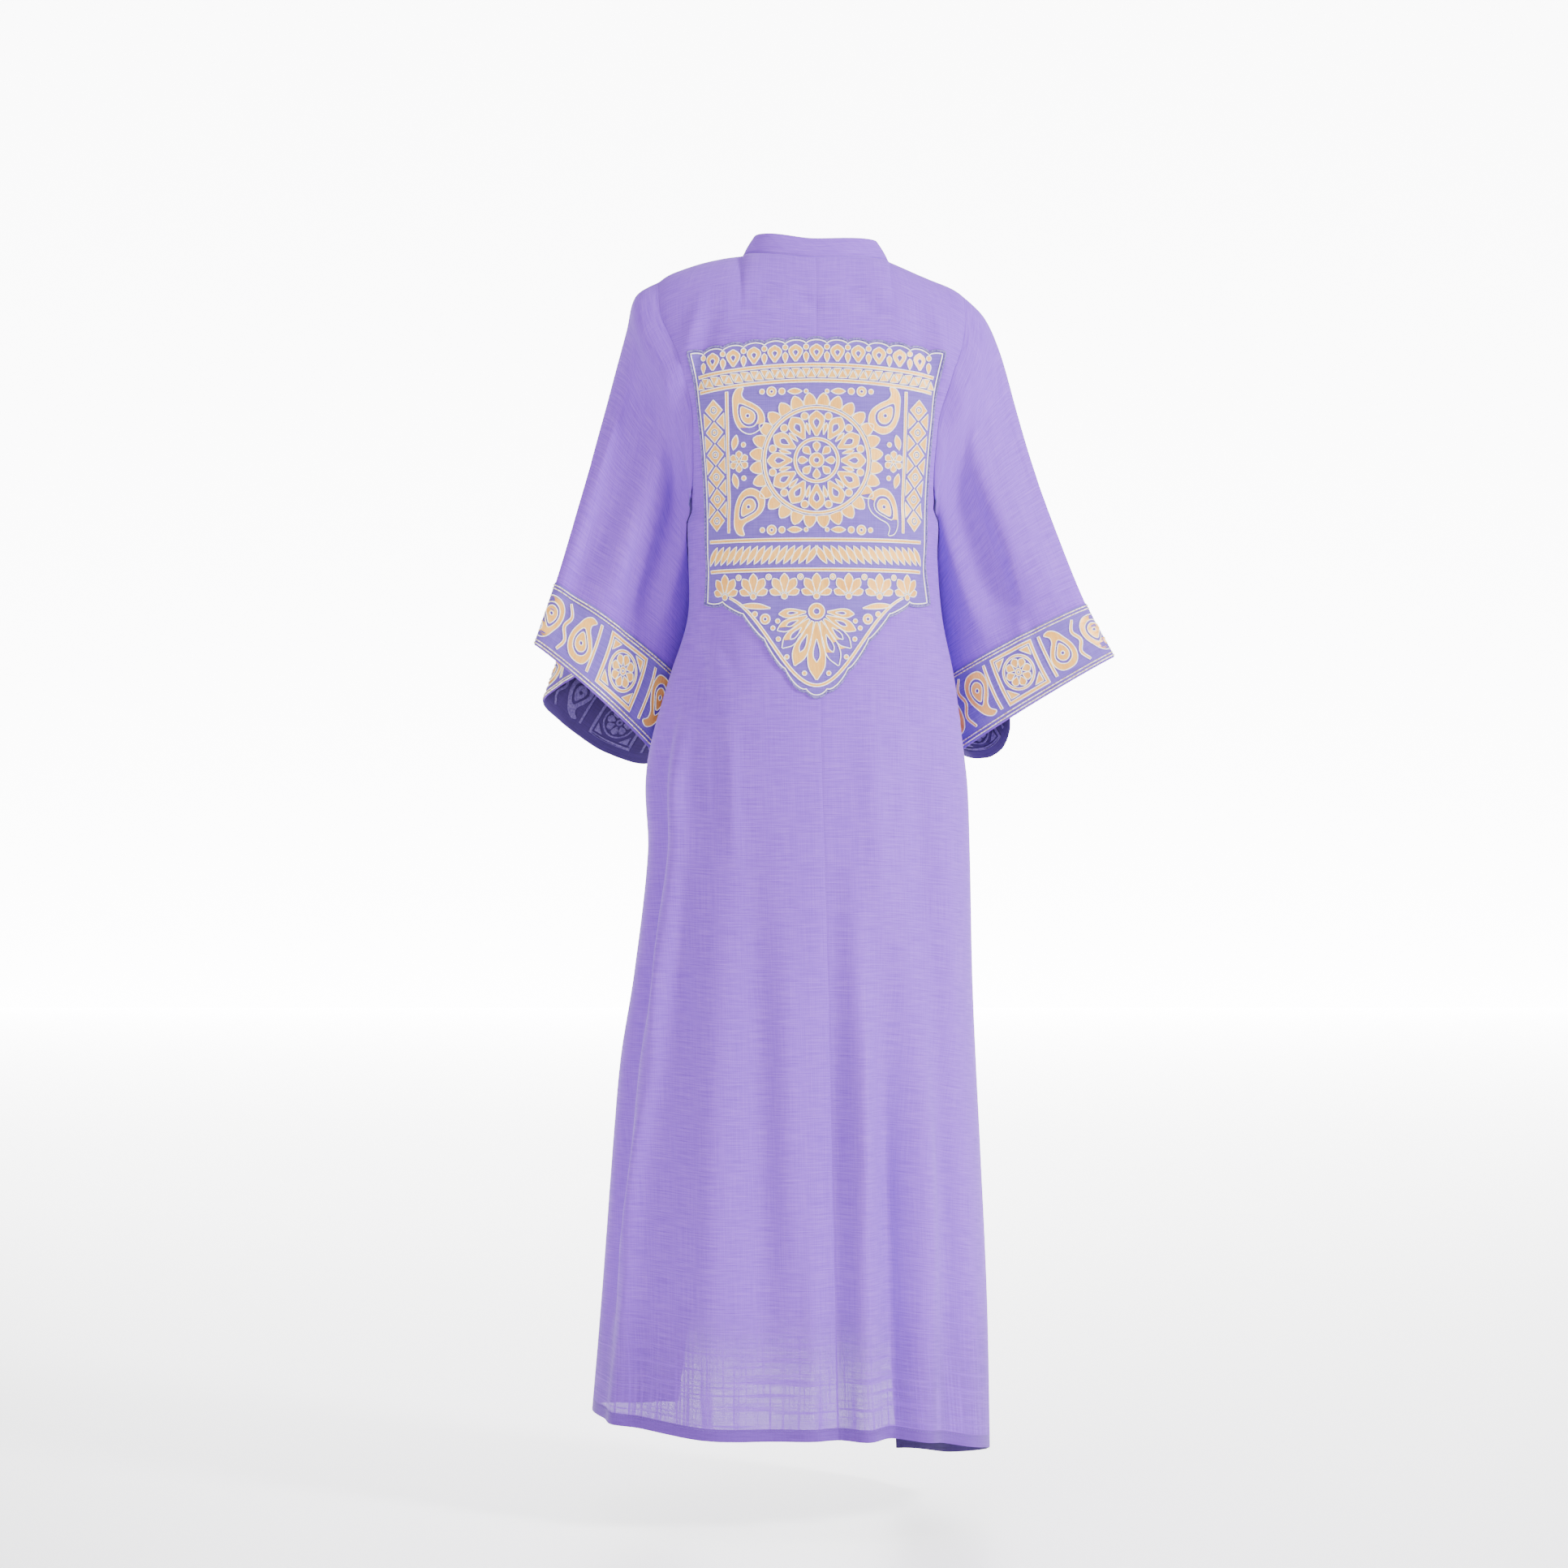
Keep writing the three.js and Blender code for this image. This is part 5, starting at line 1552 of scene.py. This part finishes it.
# %% [markdown]
# ## The cuff bands
#
# A band goes round each cuff in the same way. Two fine cords run beside each edge. The stitches go
# through to the inside of the sleeve, where they show in the purple thread that holds the gold.

# %% Cuff bands
BAND_COLUMNS, BAND_ROWS = 159, 26
CUFF_CORDS = (3.4, 7.4, 74.8, 78.8)  # above the hem, mm
cuff_pieces = {}
for side, surface in cuff_surfaces.items():
    length = surface["round"]
    design = cuff_design(length)
    u, v = np.meshgrid(np.linspace(0, length, BAND_COLUMNS + 1), np.linspace(1.0, BAND_WIDE, BAND_ROWS + 1))
    flat = np.stack([u, v], -1)
    points = on_surface(surface, flat, PATCH_CLOTH_HEIGHT + 0 * u)
    out = (on_surface(surface, flat, 2.0 + 0 * u) - on_surface(surface, flat, 1.0 + 0 * u))
    band = {"points": points, "normals": out, "flat": flat, "closed": True}
    made = add_cloth(band, f"cuff_band_cloth_{side}", PATCH_CLOTH, PATCH_CLOTH, PATCH_THICK)
    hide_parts(f"cuff_band_{side}")
    cloth[f"cuff_band_{side}"] = band | {"object": made}

    def round_line(v, height, surface=surface, length=length):
        u = np.linspace(0, length, 200)[:-1]
        return on_surface(surface, np.stack([u, v + 0 * u], -1), height + 0 * u)

    cuff_pieces[side] = [
        satin_stitch(f"cuff_gold_stitching_{side}", design, surface, PATCH_CLOTH_HEIGHT, PAD_HEIGHT),
        outline_cords(f"cuff_outline_cords_{side}", design, surface, CORD_HEIGHT),
        cords(f"cuff_edge_cords_{side}", [round_line(v, 1.5) for v in CUFF_CORDS], 0.8, SILVER_CORD, sides=1),
    ]

# %% [markdown]
# ## The reverse of the embroidery
#
# The gold thread is laid on top and held by a fine purple thread from below. Inside the cuffs the design
# shows again in that thread, as a low padding in the colour of the cloth.

# %% Reverse of the embroidery
REVERSE_FOOT, REVERSE_TOP = -1.75, -0.85  # below the cloth's outer face, mm
REVERSE_THREAD = cord_material("purple_holding_thread", "#6a5898", "#524080", 0.0, 0.6)
for side, surface in cuff_surfaces.items():
    design = cuff_design(surface["round"])
    threads_below = (REVERSE_THREAD,) * len(GOLD_THREADS)
    reverse = satin_stitch(f"cuff_reverse_{side}", design, surface, REVERSE_FOOT, REVERSE_TOP, threads_below)
    cuff_pieces[side].append(reverse)

# %% [markdown]
# ## Turned edges
#
# The hem and the two open front edges are turned in once and stitched down, so a second layer lies
# inside them. Each is a narrow strip along the edge of its piece, just under the cloth.

# %% Turned edges
FRONT_TURN = 8.0  # how far the front edges are turned in, mm
TURN_THICK, TURN_GAP = 0.5, 0.3  # the layer inside and the space between it and the cloth
EDGE_ROWS = 14  # rows of a grid, from its edge, in which a place beside the edge is looked for


def beside_edge(piece, edge, away, height):
    """Worn points at a distance from an edge of a piece, along the cloth."""
    grid = raised(piece, height)
    grid = {"hem": grid[::-1], "top": grid, "inner": grid.swapaxes(0, 1),
            "outer": grid[:, ::-1].swapaxes(0, 1)}[edge][:EDGE_ROWS]
    run = lengths(grid, 0)
    return np.stack([along_line(grid[:, k], run[:, k], away) for k in range(grid.shape[1])])


def turned_edge(name, piece, edge, wide):
    steps = np.linspace(0.4, wide, 4)
    points = np.stack([beside_edge(piece, edge, away, -CLOTH - TURN_GAP) for away in steps])
    above = np.stack([beside_edge(piece, edge, away, 0) for away in steps])
    outwards = above - points
    outwards /= np.linalg.norm(outwards, axis=-1, keepdims=True)
    flat = np.stack([lengths(points, 1), np.broadcast_to(steps[:, None], points.shape[:2])], -1)
    strip = {"points": points, "normals": outwards, "flat": flat, "closed": False}
    made = add_cloth(strip, name, DOUBLED_INSIDE_PAINTED_SHADE, DOUBLED_INSIDE_PAINTED_SHADE, TURN_THICK)
    return made


sewn_on = {name: [] for name in cloth}
for name in ("back_left", "back_right", "front_left", "front_right"):
    sewn_on[name].append(turned_edge(f"hem_turning_{name}", cloth[name], "hem", HEM_WIDE - 1))
for name in ("front_left", "front_right"):
    sewn_on[name].append(turned_edge(f"edge_turning_{name}", cloth[name], "inner", FRONT_TURN))

# %% [markdown]
# ## Seams and stitch lines
#
# Inside, the two layers of every seam are bound together with thread into a soft ridge. From outside a
# seam is only a fine line. A row of short stitches holds each turned edge and runs along the collar.

# %% Seams and stitch lines
STITCH, STITCH_GAP, STITCH_RADIUS = 2.3, 1.2, 0.24
STITCH_HEIGHT = 0.1
SEAM_RIDGE, SEAM_DEPTH = 0.9, 1.3  # the ridge's radius, and how far in it lies, mm
STITCHES = cord_material("lilac_sewing_thread", "#7350ae", "#66449e", 0.0, 0.5)
SEAM_THREAD = cord_material("lilac_binding_thread", "#7d63c4", "#6a50b0", 0.0, 0.7)


def stitches(line):
    """Short straight stitches along a line of worn points."""
    away = distances(line)
    starts = np.arange(STITCH_GAP, away[-1] - STITCH, STITCH + STITCH_GAP)
    ends = [along_line(line, away, at) for at in (starts, starts + STITCH)]
    return list(np.stack(ends, axis=1))


for name in ("back_left", "back_right", "front_left", "front_right"):
    rows = stitches(beside_edge(cloth[name], "hem", HEM_WIDE - 1.5, STITCH_HEIGHT))
    if name.startswith("front"):
        rows += stitches(beside_edge(cloth[name], "inner", FRONT_TURN - 1, STITCH_HEIGHT))
    sewn_on[name].append(cords(f"stitches_{name}", rows, STITCH_RADIUS, STITCHES, 0, False))
collar_line = stitches(beside_edge(cloth["stand_collar"], "top", 3.0, STITCH_HEIGHT))
sewn_on["stand_collar"].append(cords("stitches_stand_collar", collar_line, STITCH_RADIUS, STITCHES, 0, False))
for side in ("left", "right"):
    back, sleeve = (raised(cloth[f"{name}_{side}"], -SEAM_DEPTH) for name in ("back", "sleeve"))
    ridges = [back[UPPER_ROWS:, -1], back[0, int(BODY_COLUMNS["back"] * NECK_SHARE["back"]):]]
    if side == "left":
        ridges.append(back[1:, 0])
    sewn_on[f"back_{side}"].append(cords(f"bound_seams_{side}", ridges, SEAM_RIDGE, SEAM_THREAD, 1, False))
    armhole = cords(f"bound_armhole_{side}", [sleeve[0, :-1]], SEAM_RIDGE, SEAM_THREAD, 1)
    sewn_on[f"sleeve_{side}"].append(armhole)

# %% [markdown]
# ## The sheets
#
# Each piece of cloth is listed with what is sewn on it, and the worn areas of all the pieces are added up.

# %% Sheets
cloth["back_patch"] = patch | {"object": patch_cloth}
sewn_on["back_patch"] = patch_pieces
cloth["stand_collar"]["object"] = collar
for side in ("left", "right"):
    sewn_on[f"cuff_band_{side}"] = cuff_pieces[side]
for name, piece in cloth.items():
    kind, side = name.split("_")[0], name.split("_")[-1]
    if name == "back_patch":
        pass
    elif kind == "cuff":
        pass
    elif kind == "sleeve":
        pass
    else:
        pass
    spread = piece["flat"].reshape(-1, 2)
    wide, long = (spread.max(axis=0) - spread.min(axis=0)) * MM
print(f"whole cut {sum(sheet_area(piece) for piece in cloth.values()):.3f} m2")

# %% [markdown]
# ## Floor and light
#
# The robe hangs in a bright studio. A white floor runs back to a sheet of white paper, which glows as
# paper lit from behind does, and the floor glows more and more towards it, so that no line shows where
# the two meet. One small lamp, high at the side, rakes over the folds, and three weaker and wider ones
# soften its shadows.

# %% Floor and light
FLOOR = -1.54
FLOOR_HALF, FLOOR_NEAR = 20, 14
PAPER_BACK, PAPER_HALF, PAPER_TOP = -9.0, 3.6, 3.0
PAPER_GLOW, STUDIO_GLOW = 8.0, 0.68


def glowing(name, glow):
    inputs = {"Base Color": linear("#f6f5f8"), "Roughness": 0.45, "Emission Color": linear("#ffffff")}
    material = new_material(name)
    strength = glow(material) if callable(glow) else glow
    inputs["Emission Strength"] = strength
    return finish_material(material, add_node(material, "BsdfPrincipled", inputs))


def towards_paper(material):
    place = add_node(material, "TexCoord").outputs["Object"]
    back = add_node(material, "SeparateXYZ", {0: place}).outputs["Y"]
    reach = {"From Min": 0.5, "From Max": PAPER_BACK, "To Min": 0.5, "To Max": PAPER_GLOW}
    return add_node(material, "MapRange", {"Value": back, **reach}).outputs[0]


def stage_plane(name, corners, material):
    plane_bm = bmesh.new()
    plane_bm.faces.new([plane_bm.verts.new(corner) for corner in corners])
    mesh = bpy.data.meshes.new(name)
    plane_bm.to_mesh(mesh)
    plane_bm.free()
    mesh.materials.append(material)
    plane = bpy.data.objects.new(name, mesh)
    bpy.context.collection.objects.link(plane)


floor_corners = [(x, y, FLOOR) for x, y in
                 ((-FLOOR_HALF, PAPER_BACK), (FLOOR_HALF, PAPER_BACK), (FLOOR_HALF, FLOOR_NEAR),
                  (-FLOOR_HALF, FLOOR_NEAR))]
stage_plane("floor", floor_corners, glowing("white_studio_floor", towards_paper))
paper_corners = [(x, PAPER_BACK, z) for x, z in
                 ((-PAPER_HALF, FLOOR), (PAPER_HALF, FLOOR), (PAPER_HALF, PAPER_TOP),
                  (-PAPER_HALF, PAPER_TOP))]
stage_plane("paper", paper_corners, glowing("white_studio_paper", PAPER_GLOW))

world = bpy.data.worlds.new("studio")
world.use_nodes = True
world.node_tree.nodes["Background"].inputs["Color"].default_value = linear("#ffffff")
world.node_tree.nodes["Background"].inputs["Strength"].default_value = STUDIO_GLOW
bpy.context.scene.world = world


def soft_light(name, place, target, size, power):
    data = bpy.data.lights.new(name, "AREA")
    data.shape, data.size, data.energy = "DISK", size, power
    light = bpy.data.objects.new(name, data)
    light.location = place
    light.rotation_euler = (Vector(target) - light.location).to_track_quat("-Z", "Y").to_euler()
    bpy.context.collection.objects.link(light)


soft_light("key", (-3.2, 2.0, 1.0), (0, 0, -0.7), 0.8, 330)
soft_light("fill", (2.6, 3.4, 0.4), (0, 0, -0.7), 2.2, 100)
soft_light("top", (0.2, 0.4, 2.8), (0, 0, -0.5), 1.6, 60)
soft_light("front", (0.4, -3.4, 0.6), (0, 0, -0.7), 2.4, 40)
